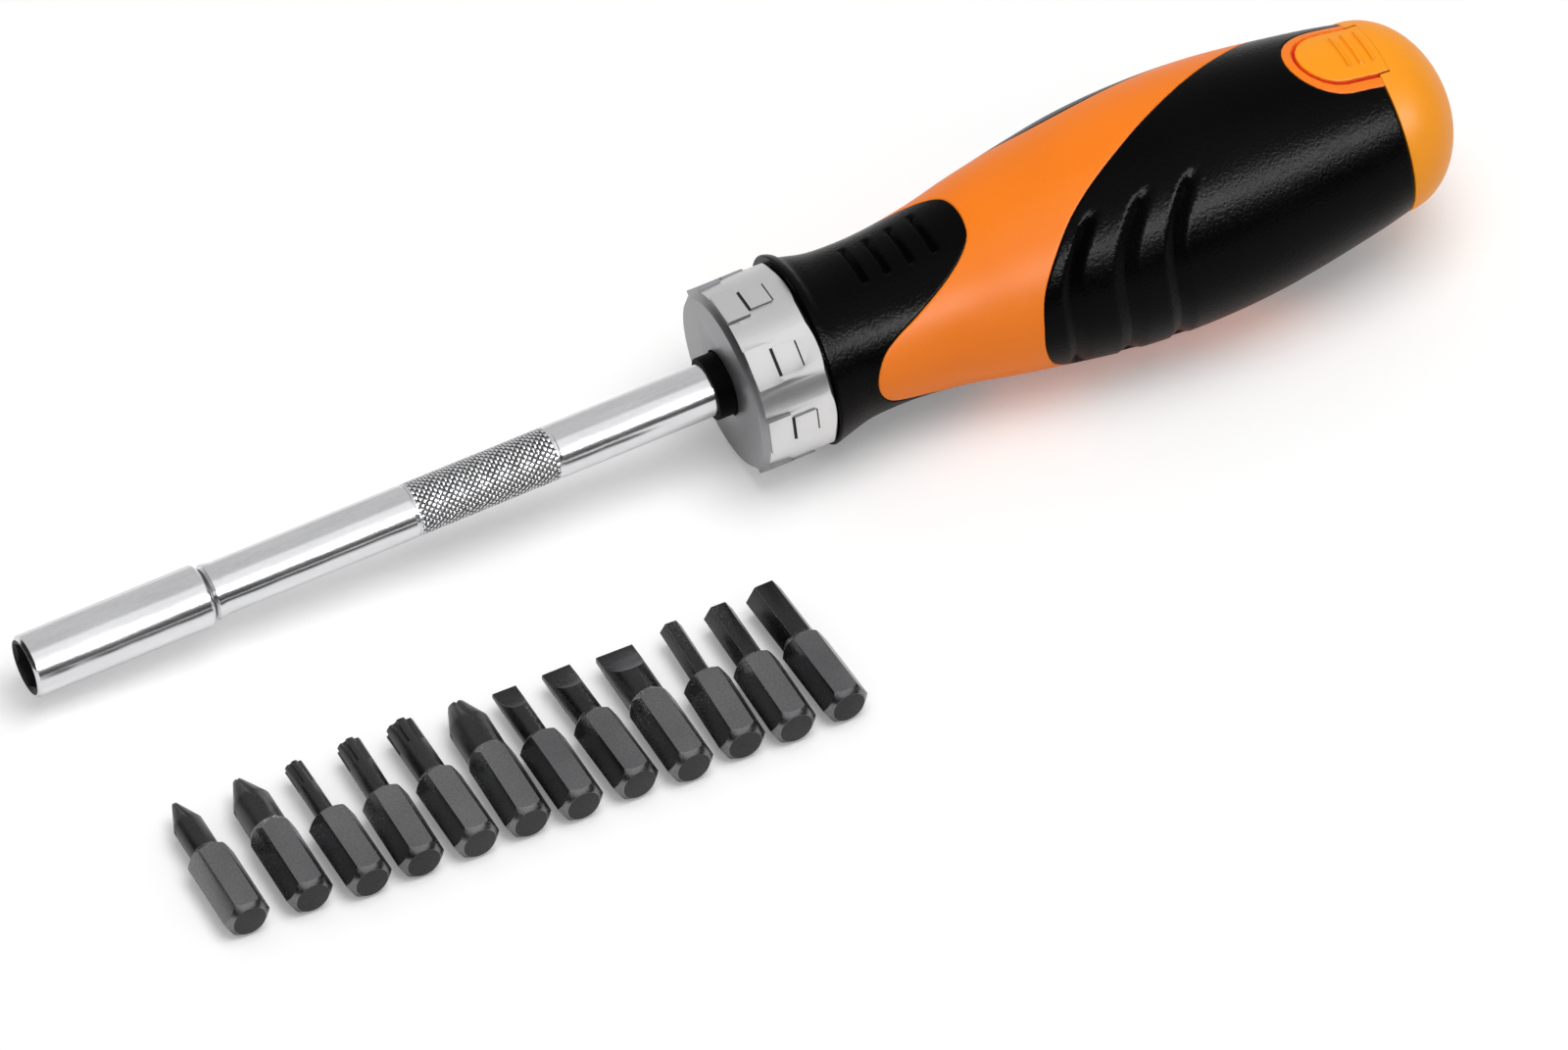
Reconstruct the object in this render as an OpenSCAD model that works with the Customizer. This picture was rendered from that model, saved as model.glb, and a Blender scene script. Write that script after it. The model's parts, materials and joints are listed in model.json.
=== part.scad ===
// Ratcheting screwdriver with a bit rack in its handle, and its twelve loose bits.
// The tool is drawn standing on the mouth of its bit holder: z runs towards the end cap,
// and +X is the side of the latch. It is then laid down on its collar and its belly.

/* [Lie on the floor] */
// How far the latch side is rolled from straight up, in degrees
lie_roll = 5; // [0:1:30]

/* [Shaft and bit holder] */
// From the mouth of the bit holder to the front face of the collar
reach = 111.7; // [90:0.1:160]
// Diameter of the shaft
shaft_d = 8; // [7:0.1:8.6]
// Diameter of the bit holder
holder_d = 9.5; // [9:0.1:12]
// Length of the bit holder
holder_len = 28.5; // [25:0.5:34]
// Size across flats of the hex socket
socket_af = 6.5; // [6.4:0.05:6.7]
// Depth of the hex socket
socket_depth = 14; // [10:0.5:16]
// Thickness of the magnet at the bottom of the socket
magnet_t = 2; // [1:0.5:3]
// Length of the cone where the shaft leaves the holder
shoulder_len = 2.5; // [1:0.5:5]
// Start of the knurled band
knurl_start = 61.5; // [45:0.5:70]
// Length of the knurled band
knurl_len = 22.5; // [10:0.5:28]

/* [Selector collar] */
// Length of the collar
collar_len = 11.6; // [11.6:0.1:14]
// Largest diameter of the collar
collar_d = 28.7; // [28:0.1:32]
// How much narrower the front edge of the collar is
collar_taper = 0.5; // [0:0.1:1]
// Number of flats round the collar
collar_flats = 8; // [6:1:10]
// Depth of each flat below the largest radius
flat_depth = 0.5; // [0.3:0.05:0.8]
// Width of the bevel at the front edge
collar_bevel = 0.9; // [0.5:0.1:1.2]
// Thickness of the collar's front wall
collar_wall = 2; // [1.6:0.1:2.4]
// Turn of the collar each way from the middle, in degrees
selector_turn = 20; // [15:1:20]

/* [Ratchet] */
// Tip diameter of the ratchet gear
gear_d = 14; // [13.8:0.1:14.2]
// Number of teeth, a multiple of four so that the pawls meet a gap on both sides
gear_teeth = 24; // [24:4:28]
// Depth of the teeth
tooth_depth = 0.95; // [0.8:0.05:1]
// Length of the gear
gear_len = 4; // [3.6:0.1:4.2]
// Swing of a pawl from rest to its gap in the gear, in degrees
pawl_swing = 8; // [7:0.5:9]
// Diameter of the pawl pins
pawl_pin_d = 1.4; // [1:0.1:1.6]
// Outer diameter of the cage that holds gear and pawls
cage_d = 22.6; // [22:0.1:23]
// Size across flats of the hex shank that the handle is moulded on
shank_af = 15.6; // [13:0.1:16]
// Length of the hex shank
shank_len = 22; // [18:0.5:24]

/* [Handle] */
// Length of the handle between collar and end cap
handle_len = 92.5; // [88:0.5:110]
// Diameter of the belly
belly_d = 37.26; // [36:0.02:40]
// Thickness of the rubber grips
grip_t = 1.4; // [1.2:0.1:1.6]
// How far the neck grip's tongues reach back from the collar
neck_reach = 27.4; // [20:0.1:30]
// How far back the valleys between those tongues lie
neck_valley = 7.1; // [5:0.1:10]
// From the collar to the front of the rear grip's lobes
lobe_front = 32.4; // [31:0.1:40]
// From the tip of the orange tongue between two lobes to the end cap
lobe_end = 10.1; // [9:0.1:20]
// Lean of the orange tongues round the handle, in degrees for each mm
lobe_lean = -0.26; // [-0.4:0.02:0]
// Depth of the grooves for the fingers
groove_depth = 0.5; // [0.3:0.05:0.8]

/* [End cap and bit rack] */
// Length of the domed end cap
cap_len = 11.3; // [9:0.1:14]
// Thinnest wall of the core round the storage chamber
core_wall = 0.8; // [0.6:0.05:1.4]
// Length of one bit
bit_len = 25; // [25:0.5:26]
// Thickness of the rack's web and discs
rack_wall = 1.2; // [1:0.1:1.4]
// Width of the latch tongue
latch_w = 10.8; // [9:0.1:11]
// Length of the latch tongue
latch_len = 11.7; // [10:0.1:12]
// Thickness of the latch tongue
latch_t = 1.6; // [1.4:0.1:1.8]
// Width of the gap round the latch tongue
latch_gap = 0.6; // [0.4:0.05:0.8]
// Width of the rim round that gap
latch_rim = 1.35; // [1:0.05:1.5]

/* [Bits] */
// Size across flats of a bit
bit_af = 6.35; // [6.3:0.01:6.35]
// Distance from bit to bit in the row
bit_pitch = 8.6; // [8:0.1:12]
// From the holder's mouth to the first bit, along the tool
row_start = 9.3; // [6:0.1:20]
// From the tool's axis to the tips of the bits
row_gap = 30.2; // [24:0.1:60]
// Length of the hexagonal part of a bit
hex_len = 14.5; // [12:0.5:16]

/* [Hidden] */
$fn = 64;

// Clearances and overruns
cut = 1;
edge_break = 0.5;
running = 0.05;
press = 0.01;
clear = 0.3;
seam = 0.15;
hairline = 0.05;
orange = "#F7871F";
cap_orange = "#FAA21B";
rubber = "#1C1C1C";
satin = "#C9CACC";
steel = "#A9ADB1";
bit_black = "#3A3B3D";

// Stations along the tool
collar_z = reach;
handle_z = collar_z + collar_len + clear;
cap_z = handle_z + handle_len;
tool_len = cap_z + seam + cap_len;

// Radii shared by several pieces
shaft_r = shaft_d / 2;
holder_r = holder_d / 2;
collar_r = collar_d / 2;
gear_r = gear_d / 2;
cage_r = cage_d / 2;
belly_r = belly_d / 2;

// The ratchet's stack behind the collar's front wall
cover_t = 1;
cover_z = collar_z + collar_wall + clear;
pocket_z = cover_z + cover_t;
clip_t = 0.6;
end_play = 0.15;
clip_z = pocket_z + end_play;
gear_z = clip_z + clip_t + hairline;
pocket_len = gear_z + gear_len + end_play - pocket_z;
floor_z = pocket_z + pocket_len;
pawl_z = pocket_z + clear;
pawl_len = pocket_len - 2 * clear;
bush_t = 1.2;
bore_r = shaft_r + bush_t;
washer_t = 1;
shaft_inset = 3;
shaft_end = handle_z + shank_len - shaft_inset;

// The handle's outline as shares of its length and of the belly's radius
handle_shares = [
    [0, 0.778], [0.038, 0.725], [0.069, 0.69], [0.105, 0.678], [0.15, 0.68], [0.2, 0.702],
    [0.26, 0.747], [0.322, 0.812], [0.385, 0.868], [0.449, 0.922], [0.511, 0.966],
    [0.575, 0.992], [0.638, 1], [0.7, 0.994], [0.764, 0.972], [0.827, 0.934],
    [0.891, 0.885], [0.954, 0.832], [1, 0.784]
];
// Half of the neck grip's wave, from a tongue's peak to the valley beside it
neck_shares = [
    [0, 1], [0.11, 0.99], [0.21, 0.955], [0.31, 0.86], [0.41, 0.714], [0.5, 0.555],
    [0.59, 0.385], [0.67, 0.225], [0.76, 0.1], [0.88, 0.025]
];
// The rear grip's wave over half a turn: a lobe's front, its long edge and the steep fall
lobe_shares = [
    [0, 0], [0.139, 0.026], [0.263, 0.122], [0.344, 0.236], [0.425, 0.424], [0.509, 0.64],
    [0.586, 0.818], [0.646, 0.912], [0.686, 0.965], [0.702, 0.985], [0.709, 0.94],
    [0.714, 0.84], [0.72, 0.68], [0.728, 0.5], [0.741, 0.33], [0.762, 0.2], [0.8, 0.1],
    [0.855, 0.035], [0.93, 0.006]
];

// A smooth curve through the points, with the given number of steps from point to point
function blend(a, b, c, d, t) = b + t * (c - a) / 2
    + t * t * (a - 5 * b / 2 + 2 * c - d / 2) + t * t * t * (3 * b - a - 3 * c + d) / 2;
function smooth(p, steps) = [
    for (i = [0 : len(p) - 2], s = [0 : steps - 1])
        blend(p[max(i - 1, 0)], p[i], p[i + 1], p[min(i + 2, len(p) - 1)], s / steps),
    p[len(p) - 1]
];
function closed_wave(p, steps) =
    let (n = len(p))
    [
        for (turn = [0, 1], i = [0 : n - 1], s = [0 : steps - 1])
            let (
                before = i == 0 ? p[n - 1] - [1, 0] : p[i - 1],
                after = i == n - 1 ? p[0] + [1, 0] : p[i + 1],
                beyond = i >= n - 2 ? p[i + 2 - n] + [1, 0] : p[i + 2]
            )
            blend(before, p[i], after, beyond, s / steps) + [turn, 0]
    ];

// The outline from the collar to the end of the dome, as [z, radius]
dome_steps = 9;
rim_r = belly_r * handle_shares[len(handle_shares) - 1][1];
chamber_r = rim_r - grip_t - core_wall;
rack_r = chamber_r - clear;
handle_line = [
    for (p = smooth(handle_shares, 2)) [handle_z + handle_len * p[0], belly_r * p[1]]
];
dome_line = [
    for (i = [0 : dome_steps])
        let (a = 90 * i / dome_steps)
        [cap_z + seam + cap_len * sin(a), rim_r * cos(a)]
];
tool_line = concat(handle_line, dome_line);
function skin_r(z) = lookup(z, tool_line);
function stations(from, to) = concat(
    [from], [for (p = tool_line) if (p[0] > from && p[0] < to) p[0]], [to]
);

// The wave edges of the grips as [angle, z], all the way round
neck_half = [for (p = neck_shares) [p[0] / 2, p[1]]];
neck_wave = [
    for (p = closed_wave(concat(
        neck_half, [[0.5, 0]], [for (i = [len(neck_half) - 1 : -1 : 1]) [1 - neck_half[i][0], neck_half[i][1]]]
    ), 2))
        [180 * p[0], handle_z + neck_valley + (neck_reach - neck_valley) * p[1]]
];
lobe_turn = 91;
lobe_rise = handle_len - lobe_front - lobe_end;
lobe_wave = [
    for (p = closed_wave(lobe_shares, 2))
        [
            lobe_turn - 180 * p[0] + lobe_lean * lobe_rise * p[1],
            handle_z + lobe_front + lobe_rise * p[1]
        ]
];

// How the tool lies: on the front edge of its collar and on its belly
collar_rest_z = collar_z + collar_bevel;
belly_rest = handle_line[2 * 11];
lie_tilt = atan((belly_rest[1] - collar_r) / (belly_rest[0] - collar_rest_z));
mouth_height = collar_r * cos(lie_tilt) - collar_rest_z * sin(lie_tilt);
centre_x = tool_len * cos(lie_tilt) / 2;
centre_y = (belly_r - row_gap - bit_len) / 2;

module lay_down() {
    translate([-centre_x, -centre_y, mouth_height])
        rotate([0, 90 - lie_tilt, 0])
        rotate([0, 0, 180 - lie_roll])
        children();
}

// A revolved ring between two depths under the handle's skin
module skin_ring(from, to, outer, inner) {
    z = stations(from, to);
    rotate_extrude()
        polygon(concat(
            [for (s = z) [skin_r(s) - outer, s]],
            [for (i = [len(z) - 1 : -1 : 0]) [skin_r(z[i]) - inner, z[i]]]
        ));
}

// The full body under the handle's skin, down to the axis
module skin_body(from, to, depth) {
    z = stations(from, to);
    rotate_extrude()
        polygon(concat([[0, from]], [for (s = z) [max(skin_r(s) - depth, 0), s]], [[0, to]]));
}

// A thick ring whose one end follows a wave, and whose other end is flat
module crown(wave, shift, flat_z) {
    n = len(wave);
    inner = belly_r / 3;
    outer = belly_r + 2 * grip_t;
    function ring(r, flat) = [
        for (w = wave) [r * cos(w[0]), r * sin(w[0]), flat ? flat_z : w[1] + shift]
    ];
    rings = concat(ring(inner, false), ring(outer, false), ring(outer, true), ring(inner, true));
    upward = (flat_z > wave[0][1]) == (wave[1][0] > wave[0][0]);
    faces = [
        for (k = [0 : 3], i = [0 : n - 1])
            let (
                a = k * n + i,
                b = k * n + (i + 1) % n,
                c = ((k + 1) % 4) * n + (i + 1) % n,
                d = ((k + 1) % 4) * n + i
            )
            each (upward ? [[a, d, b], [b, d, c]] : [[a, b, d], [b, c, d]])
    ];
    polyhedron(rings, faces);
}

// A flat shape, drawn across and along the tool, pushed out towards the latch side
module outwards(from, to) {
    translate([from, 0, 0])
        rotate([90, 0, 90])
        linear_extrude(to - from)
        children();
}

// A tongue with a round front, as a flat shape: its front, its end and its width
module tongue_shape(front, end, width) {
    translate([0, front + width / 2])
        circle(width / 2);
    translate([-width / 2, front + width / 2])
        square([width, end - front - width / 2]);
}

// Latch: the tongue's stations
latch_root = cap_z + seam + latch_t;
latch_front = latch_root - latch_len;
channel_w = latch_w + 2 * latch_gap;
window_w = channel_w + 2 * latch_rim;

module window_shape(grow) {
    tongue_shape(
        latch_front - latch_gap - latch_rim - grow, cap_z + cut, window_w + 2 * grow
    );
}

module neck_crown(shift) {
    crown(neck_wave, shift, handle_z - cut);
}

module lobe_crown(shift) {
    crown(lobe_wave, shift, cap_z + cut);
}

// Handle: the orange core, moulded round the ratchet's shank
core_floor = 3.8;
chamber_z = handle_z + shank_len + core_floor;

module handle_core() {
    color(orange) lay_down() difference() {
        union() {
            difference() {
                skin_body(handle_z, cap_z, 0);
                neck_crown(0);
                difference() {
                    lobe_crown(0);
                    outwards(0, belly_r + cut) window_shape(0);
                }
            }
            skin_body(handle_z, cap_z, grip_t);
        }
        translate([0, 0, handle_z - cut])
            cylinder(h = shank_len + cut + running, d = (shank_af + 2 * running) / cos(30), $fn = 6);
        translate([0, 0, chamber_z])
            cylinder(h = cap_z - chamber_z + cut, r = chamber_r);
        outwards(0, belly_r + cut)
            tongue_shape(latch_front - latch_gap, cap_z + cut, channel_w);
    }
}

// Grooves for the fingers across each tongue of the neck grip
groove_count = 4;
groove_half_angle = 19;
groove_w = 1.3;
groove_pitch = 3.7;
groove_first = 10.4;

module finger_grooves() {
    for (side = [0, 180], i = [0 : groove_count - 1]) {
        z = handle_z + groove_first + groove_pitch * i;
        rotate([0, 0, side - groove_half_angle])
            rotate_extrude(angle = 2 * groove_half_angle)
            translate([skin_r(z) - groove_depth, z - groove_w / 2])
            square([grip_t + cut, groove_w]);
    }
}

module neck_grip() {
    color(rubber) lay_down() difference() {
        intersection() {
            skin_ring(handle_z, handle_z + neck_reach + cut, 0, grip_t - hairline);
            neck_crown(-hairline);
        }
        finger_grooves();
    }
}

module rear_grip() {
    color(rubber) lay_down() difference() {
        intersection() {
            skin_ring(handle_z + lobe_front - cut, cap_z, 0, grip_t - hairline);
            lobe_crown(hairline);
        }
        outwards(0, belly_r + cut) window_shape(hairline);
    }
}

// Pawl positions and outline: radii as shares of the gear's radius, with their angles
pawl_r = 8.8;
pawl_angle = 52;
boss_r = 1.4;
pocket_r = gear_r + clear;
chamber_half_angle = 112;
cage_wall = 0.8;
pawl_room_r = cage_r - cage_wall;
pawl_outline_shares = [
    [0.914, 91.3], [0.914, 88.7], [1.029, 85.5], [1.107, 76], [1.086, 58], [1.13, 44],
    [1.34, 26], [1.47, 26.5], [1.43, 38], [1.45, 52], [1.33, 72], [1.22, 88], [1.14, 94.5],
    [1.03, 94.5]
];

module pawl() {
    pivot = pawl_r * [cos(pawl_angle), sin(pawl_angle)];
    translate([pivot[0], pivot[1], pawl_z])
        rotate([0, 0, -pawl_swing])
        linear_extrude(pawl_len)
        difference() {
            union() {
                translate(-pivot)
                    polygon([for (p = pawl_outline_shares) gear_r * p[0] * [cos(p[1]), sin(p[1])]]);
                circle(boss_r);
            }
            circle(d = pawl_pin_d + 2 * running);
        }
}

module forward_pawl() {
    color(steel) lay_down() pawl();
}

module reverse_pawl() {
    color(steel) lay_down() mirror([0, 1, 0]) pawl();
}

pin_seat = 0.5;

module pin_places() {
    for (side = [-1, 1])
        rotate([0, 0, side * pawl_angle])
            translate([pawl_r, 0, 0])
            children();
}

module pawl_pins() {
    color(steel) lay_down()
        pin_places()
        translate([0, 0, pocket_z - pin_seat])
        cylinder(h = pocket_len + 2 * pin_seat, d = pawl_pin_d);
}

module pin_holes() {
    pin_places()
        translate([0, 0, pocket_z - pin_seat - hairline])
        cylinder(h = pocket_len + 2 * (pin_seat + hairline), d = pawl_pin_d + 2 * press);
}

spring_from = 63;
spring_sweep = 44;
leaf_t = 0.2;

module pawl_springs() {
    color(steel) lay_down()
        for (side = [-1, 1])
        rotate([0, 0, side > 0 ? spring_from : -spring_from - spring_sweep])
        rotate_extrude(angle = spring_sweep)
        translate([pawl_room_r - hairline - leaf_t, pawl_z])
        square([leaf_t, pawl_len]);
}

// Detent: a ball pushed outwards against dimples in the collar
ball_r = 1;
ball_out = cage_r + clear - hairline - ball_r;
detent_hole = ball_r + hairline;
detent_bottom = pocket_r + ball_r;
detent_z = pocket_z + pocket_len / 2;
dimple_r = 1.2;

module detent_ball() {
    color(satin) lay_down()
        translate([-ball_out, 0, detent_z])
        sphere(ball_r);
}

// A coil of round wire: turns, steps in a turn and sides of the wire
wire_r = 0.1;
coil_turns = 3;
coil_steps = 12;
wire_sides = 6;

module coil(radius, height) {
    n = coil_turns * coil_steps;
    points = [
        for (i = [0 : n], k = [0 : wire_sides - 1])
            let (
                turn = 360 * i / coil_steps,
                side = 360 * k / wire_sides,
                r = radius + wire_r * cos(side)
            )
            [r * cos(turn), r * sin(turn), wire_r + (height - 2 * wire_r) * i / n + wire_r * sin(side)]
    ];
    last = n * wire_sides;
    faces = concat(
        [[for (k = [0 : wire_sides - 1]) k]],
        [[for (k = [wire_sides - 1 : -1 : 0]) last + k]],
        [
            for (i = [0 : n - 1], k = [0 : wire_sides - 1])
                let (
                    a = i * wire_sides + k,
                    b = i * wire_sides + (k + 1) % wire_sides,
                    c = b + wire_sides,
                    d = a + wire_sides
                )
                each [[a, d, b], [b, d, c]]
        ]
    );
    polyhedron(points, faces);
}

module detent_spring() {
    color(steel) lay_down()
        translate([-detent_bottom - hairline, 0, detent_z])
        rotate([0, -90, 0])
        coil(ball_r - 2 * wire_r, ball_out - ball_r - detent_bottom - 2 * hairline);
}

// A piece of a ring between two radii, centred on the latch side
module sector(inner, outer, half_angle, from, height) {
    rotate([0, 0, -half_angle])
        rotate_extrude(angle = 2 * half_angle)
        translate([inner, from])
        square([outer - inner, height]);
}

cam_half_angle = 8;
cam_inner_r = 9.75;
window_play = 2;
window_half_angle = selector_turn + cam_half_angle + window_play;
ring_t = 0.8;
ring_z = floor_z + (handle_z - floor_z) / 2 - ring_t;
ring_seat = 0.7;
ring_grip = 0.3;
ring_inner = cage_r - ring_seat;
ring_outer = cage_r + clear + ring_grip;

module ratchet_body() {
    color(steel) lay_down() difference() {
        union() {
            translate([0, 0, pocket_z])
                cylinder(h = handle_z - pocket_z, r = cage_r);
            translate([0, 0, handle_z - cut])
                cylinder(h = shank_len + cut, d = shank_af / cos(30), $fn = 6);
        }
        translate([0, 0, pocket_z - cut])
            cylinder(h = pocket_len + cut, r = pocket_r);
        sector(bore_r + cut, pawl_room_r, chamber_half_angle, pocket_z - cut, pocket_len + cut);
        sector(gear_r, cage_r + cut, window_half_angle, pocket_z - cut, pocket_len + cut);
        pin_holes();
        translate([0, 0, floor_z - cut])
            cylinder(h = shaft_end + washer_t + 2 * hairline - floor_z + cut, r = bore_r);
        translate([-detent_bottom, 0, detent_z])
            rotate([0, -90, 0])
            cylinder(h = cage_r, r = detent_hole);
        translate([0, 0, ring_z - hairline])
            difference() {
                cylinder(h = ring_t + 2 * hairline, r = cage_r + cut);
                translate([0, 0, -cut])
                    cylinder(h = ring_t + 2 * cut, r = ring_inner - hairline);
            }
    }
}

nose_r = 4.8;
nose_out = 2.7;

module nose_bush() {
    color(rubber) lay_down() difference() {
        union() {
            translate([0, 0, collar_z - nose_out])
                cylinder(h = cover_z + cover_t - collar_z + nose_out, r = nose_r);
            translate([0, 0, cover_z])
                cylinder(h = cover_t, r = cage_r - clear);
        }
        translate([0, 0, collar_z - nose_out - cut])
            cylinder(h = reach, r = shaft_r + running);
        pin_holes();
    }
}

ring_gap_angle = 30;

module collar_snap_ring() {
    color(steel) lay_down()
        rotate([0, 0, ring_gap_angle / 2])
        rotate_extrude(angle = 360 - ring_gap_angle)
        translate([ring_inner, ring_z])
        square([ring_outer - ring_inner, ring_t]);
}

module shaft_bush() {
    color("#B08D57") lay_down()
        translate([0, 0, floor_z])
        difference() {
            cylinder(h = shaft_end - washer_t - floor_z, r = bore_r - press);
            translate([0, 0, -cut])
                cylinder(h = shank_len + reach, r = shaft_r + running);
        }
}

module thrust_washer() {
    color(steel) lay_down()
        translate([0, 0, shaft_end + hairline])
        cylinder(h = washer_t, r = bore_r - press);
}

// Spindle: holder, magnet, shaft, gear and circlip
spigot_r = socket_af / 2;
magnet_z = socket_depth + hairline;
spigot_z = magnet_z + magnet_t + hairline;
shoulder_r = (holder_r + shaft_r) / 2;
knurl_depth = 0.12;
mouth_r = 3.95;

module shaft() {
    rotate_line = [
        [0, spigot_z], [spigot_r, spigot_z], [spigot_r, holder_len + hairline],
        [shoulder_r - edge_break / 2, holder_len + hairline],
        [shoulder_r, holder_len + edge_break / 2],
        [shaft_r, holder_len + shoulder_len], [shaft_r, knurl_start - edge_break],
        [shaft_r - knurl_depth, knurl_start], [shaft_r, knurl_start + edge_break],
        [shaft_r, knurl_start + knurl_len - edge_break],
        [shaft_r - knurl_depth, knurl_start + knurl_len],
        [shaft_r, knurl_start + knurl_len + edge_break], [shaft_r, clip_z - hairline],
        [shaft_r - edge_break, clip_z - hairline],
        [shaft_r - edge_break, clip_z + clip_t + hairline],
        [shaft_r, clip_z + clip_t + hairline], [shaft_r, shaft_end - edge_break],
        [shaft_r - edge_break, shaft_end], [0, shaft_end]
    ];
    color(satin) lay_down() rotate_extrude() polygon(rotate_line);
}

module bit_holder() {
    color(satin) lay_down() difference() {
        rotate_extrude()
            polygon([
                [0, 0], [holder_r - edge_break, 0], [holder_r, edge_break],
                [holder_r, holder_len - edge_break], [holder_r - edge_break, holder_len],
                [0, holder_len]
            ]);
        translate([0, 0, -cut])
            cylinder(h = socket_depth + cut, d = socket_af / cos(30), $fn = 6);
        translate([0, 0, socket_depth - cut])
            cylinder(h = holder_len, r = spigot_r + press);
        translate([0, 0, -hairline])
            cylinder(h = edge_break + hairline, r1 = mouth_r, r2 = spigot_r);
    }
}

module socket_magnet() {
    color("#8C8F94") lay_down()
        translate([0, 0, magnet_z])
        cylinder(h = magnet_t, r = spigot_r);
}

tooth_tip_angle = 2.9;
tooth_root_angle = 3;

module ratchet_gear() {
    pitch = 360 / gear_teeth;
    outline = [
        for (i = [0 : gear_teeth - 1])
            let (gap = pitch * i, root = gear_r - tooth_depth)
            each [
                root * [cos(gap - tooth_root_angle / 2), sin(gap - tooth_root_angle / 2)],
                root * [cos(gap + tooth_root_angle / 2), sin(gap + tooth_root_angle / 2)],
                gear_r * [cos(gap + (pitch - tooth_tip_angle) / 2), sin(gap + (pitch - tooth_tip_angle) / 2)],
                gear_r * [cos(gap + (pitch + tooth_tip_angle) / 2), sin(gap + (pitch + tooth_tip_angle) / 2)]
            ]
    ];
    color(steel) lay_down()
        translate([0, 0, gear_z])
        linear_extrude(gear_len)
        difference() {
            polygon(outline);
            circle(shaft_r + press);
        }
}

module gear_circlip() {
    color(steel) lay_down()
        rotate([0, 0, ring_gap_angle])
        rotate_extrude(angle = 360 - 2 * ring_gap_angle)
        translate([shaft_r - edge_break + hairline, clip_z])
        square([edge_break + washer_t, clip_t]);
}

// Selector collar: eight flats, each with a raised arrow
head_len = 3.6;
head_w = 6.2;
stem_len = 3.4;
stem_w = 4.4;
arrow_gap = 0.5;
relief = 0.35;

module arrow_blocks(across) {
    top = across + relief;
    translate([across - cut, -head_w / 2, collar_z + collar_bevel])
        cube([top - across + cut, head_w, head_len]);
    translate([across - cut, -stem_w / 2, collar_z + collar_bevel + head_len + arrow_gap])
        cube([top - across + cut, stem_w, stem_len]);
}

module selector_collar() {
    across = collar_r - flat_depth;
    inner_r = cage_r + clear;
    step = 360 / collar_flats;
    color(satin) lay_down() difference() {
        union() {
            intersection() {
                rotate_extrude()
                    polygon([
                        [0, collar_z], [collar_r - collar_taper - collar_bevel, collar_z],
                        [collar_r - collar_taper, collar_z + collar_bevel],
                        [collar_r, collar_z + collar_len - edge_break],
                        [collar_r - edge_break, collar_z + collar_len], [0, collar_z + collar_len]
                    ]);
                rotate([0, 0, step / 2])
                    translate([0, 0, collar_z - cut])
                    cylinder(h = collar_len + 2 * cut, r = across / cos(step / 2), $fn = collar_flats);
            }
            for (i = [0 : collar_flats - 1])
                rotate([0, 0, step * i])
                    arrow_blocks(across);
        }
        translate([0, 0, collar_z + collar_wall])
            difference() {
                cylinder(h = collar_len, r = inner_r);
                sector(
                    cam_inner_r, inner_r + cut, cam_half_angle,
                    pawl_z - collar_z - collar_wall, pawl_len
                );
            }
        translate([0, 0, collar_z - cut])
            cylinder(h = collar_wall + 2 * cut, r = nose_r + clear);
        translate([0, 0, ring_z - clear])
            cylinder(h = ring_t + 2 * clear, r = ring_outer + clear);
        for (turn = [-selector_turn, 0, selector_turn])
            rotate([0, 0, turn])
                translate([-ball_out, 0, detent_z])
                sphere(dimple_r);
    }
}

// End cap with its plug, the two-sided bit rack and the screws between them
plug_len = 3.2;
rack_end = cap_z - plug_len;
channel_clear = 0.25;
row_rib = 0.6;
row_w = bit_af + channel_clear;
rows_room = 2 * sqrt(pow(rack_r, 2) - pow((rack_wall + bit_af) / 2, 2));
rack_rows = floor((rows_room + row_rib) / (row_w + row_rib));
tier_len = bit_len + clear;
tiers_room = rack_end - hairline - clear - chamber_z - rack_wall;
rack_tiers = floor(tiers_room / (tier_len + rack_wall));
rack_len = rack_tiers * (tier_len + rack_wall) + rack_wall;
rack_z = rack_end - hairline - rack_len;
screw_r = 0.8;
screw_head_r = 1.5;
screw_len = 4.6;
screw_x = 7;

module screw_shape(grow) {
    for (side = [-1, 1])
        translate([side * screw_x, 0, rack_end - hairline - rack_wall]) {
            cylinder(h = screw_len, r = screw_r + grow);
            cylinder(h = screw_head_r - screw_r, r1 = screw_head_r + grow, r2 = screw_r + grow);
        }
}

module end_cap() {
    color(cap_orange) lay_down() difference() {
        union() {
            skin_body(cap_z + seam, tool_len, 0);
            translate([0, 0, rack_end])
                cylinder(h = plug_len + seam + cut, r = rack_r);
        }
        difference() {
            outwards(0, belly_r)
                translate([-latch_w / 2 - latch_gap / 2, rack_end - cut])
                square([latch_w + latch_gap, latch_root + clear - rack_end + cut]);
            translate([0, 0, rack_end - 2 * cut])
                cylinder(h = tool_len, r = rack_r - 2 * seam);
        }
        screw_shape(press);
    }
}

module bit_rack() {
    color(cap_orange) lay_down() difference() {
        translate([0, 0, rack_z])
            cylinder(h = rack_len, r = rack_r);
        for (tier = [0 : rack_tiers - 1], face = [-1, 1], row = [0 : rack_rows - 1])
            translate([
                face > 0 ? rack_wall / 2 : -rack_wall / 2 - rack_r,
                (row - (rack_rows - 1) / 2) * (row_w + row_rib) - row_w / 2,
                rack_z + rack_wall + tier * (tier_len + rack_wall)
            ])
                cube([rack_r, row_w, tier_len]);
        screw_shape(press);
    }
}

module rack_screws() {
    color(steel) lay_down()
        screw_shape(0);
}

// Latch tongue: a sprung strip of the cap that the thumb presses in
rib_count = 3;
rib_w = 0.7;
rib_len = 7;
rib_pitch = 1.9;
rib_first = 6.6;
rib_high = 0.35;
hook_high = 0.8;
hook_len = 1.6;

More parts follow.
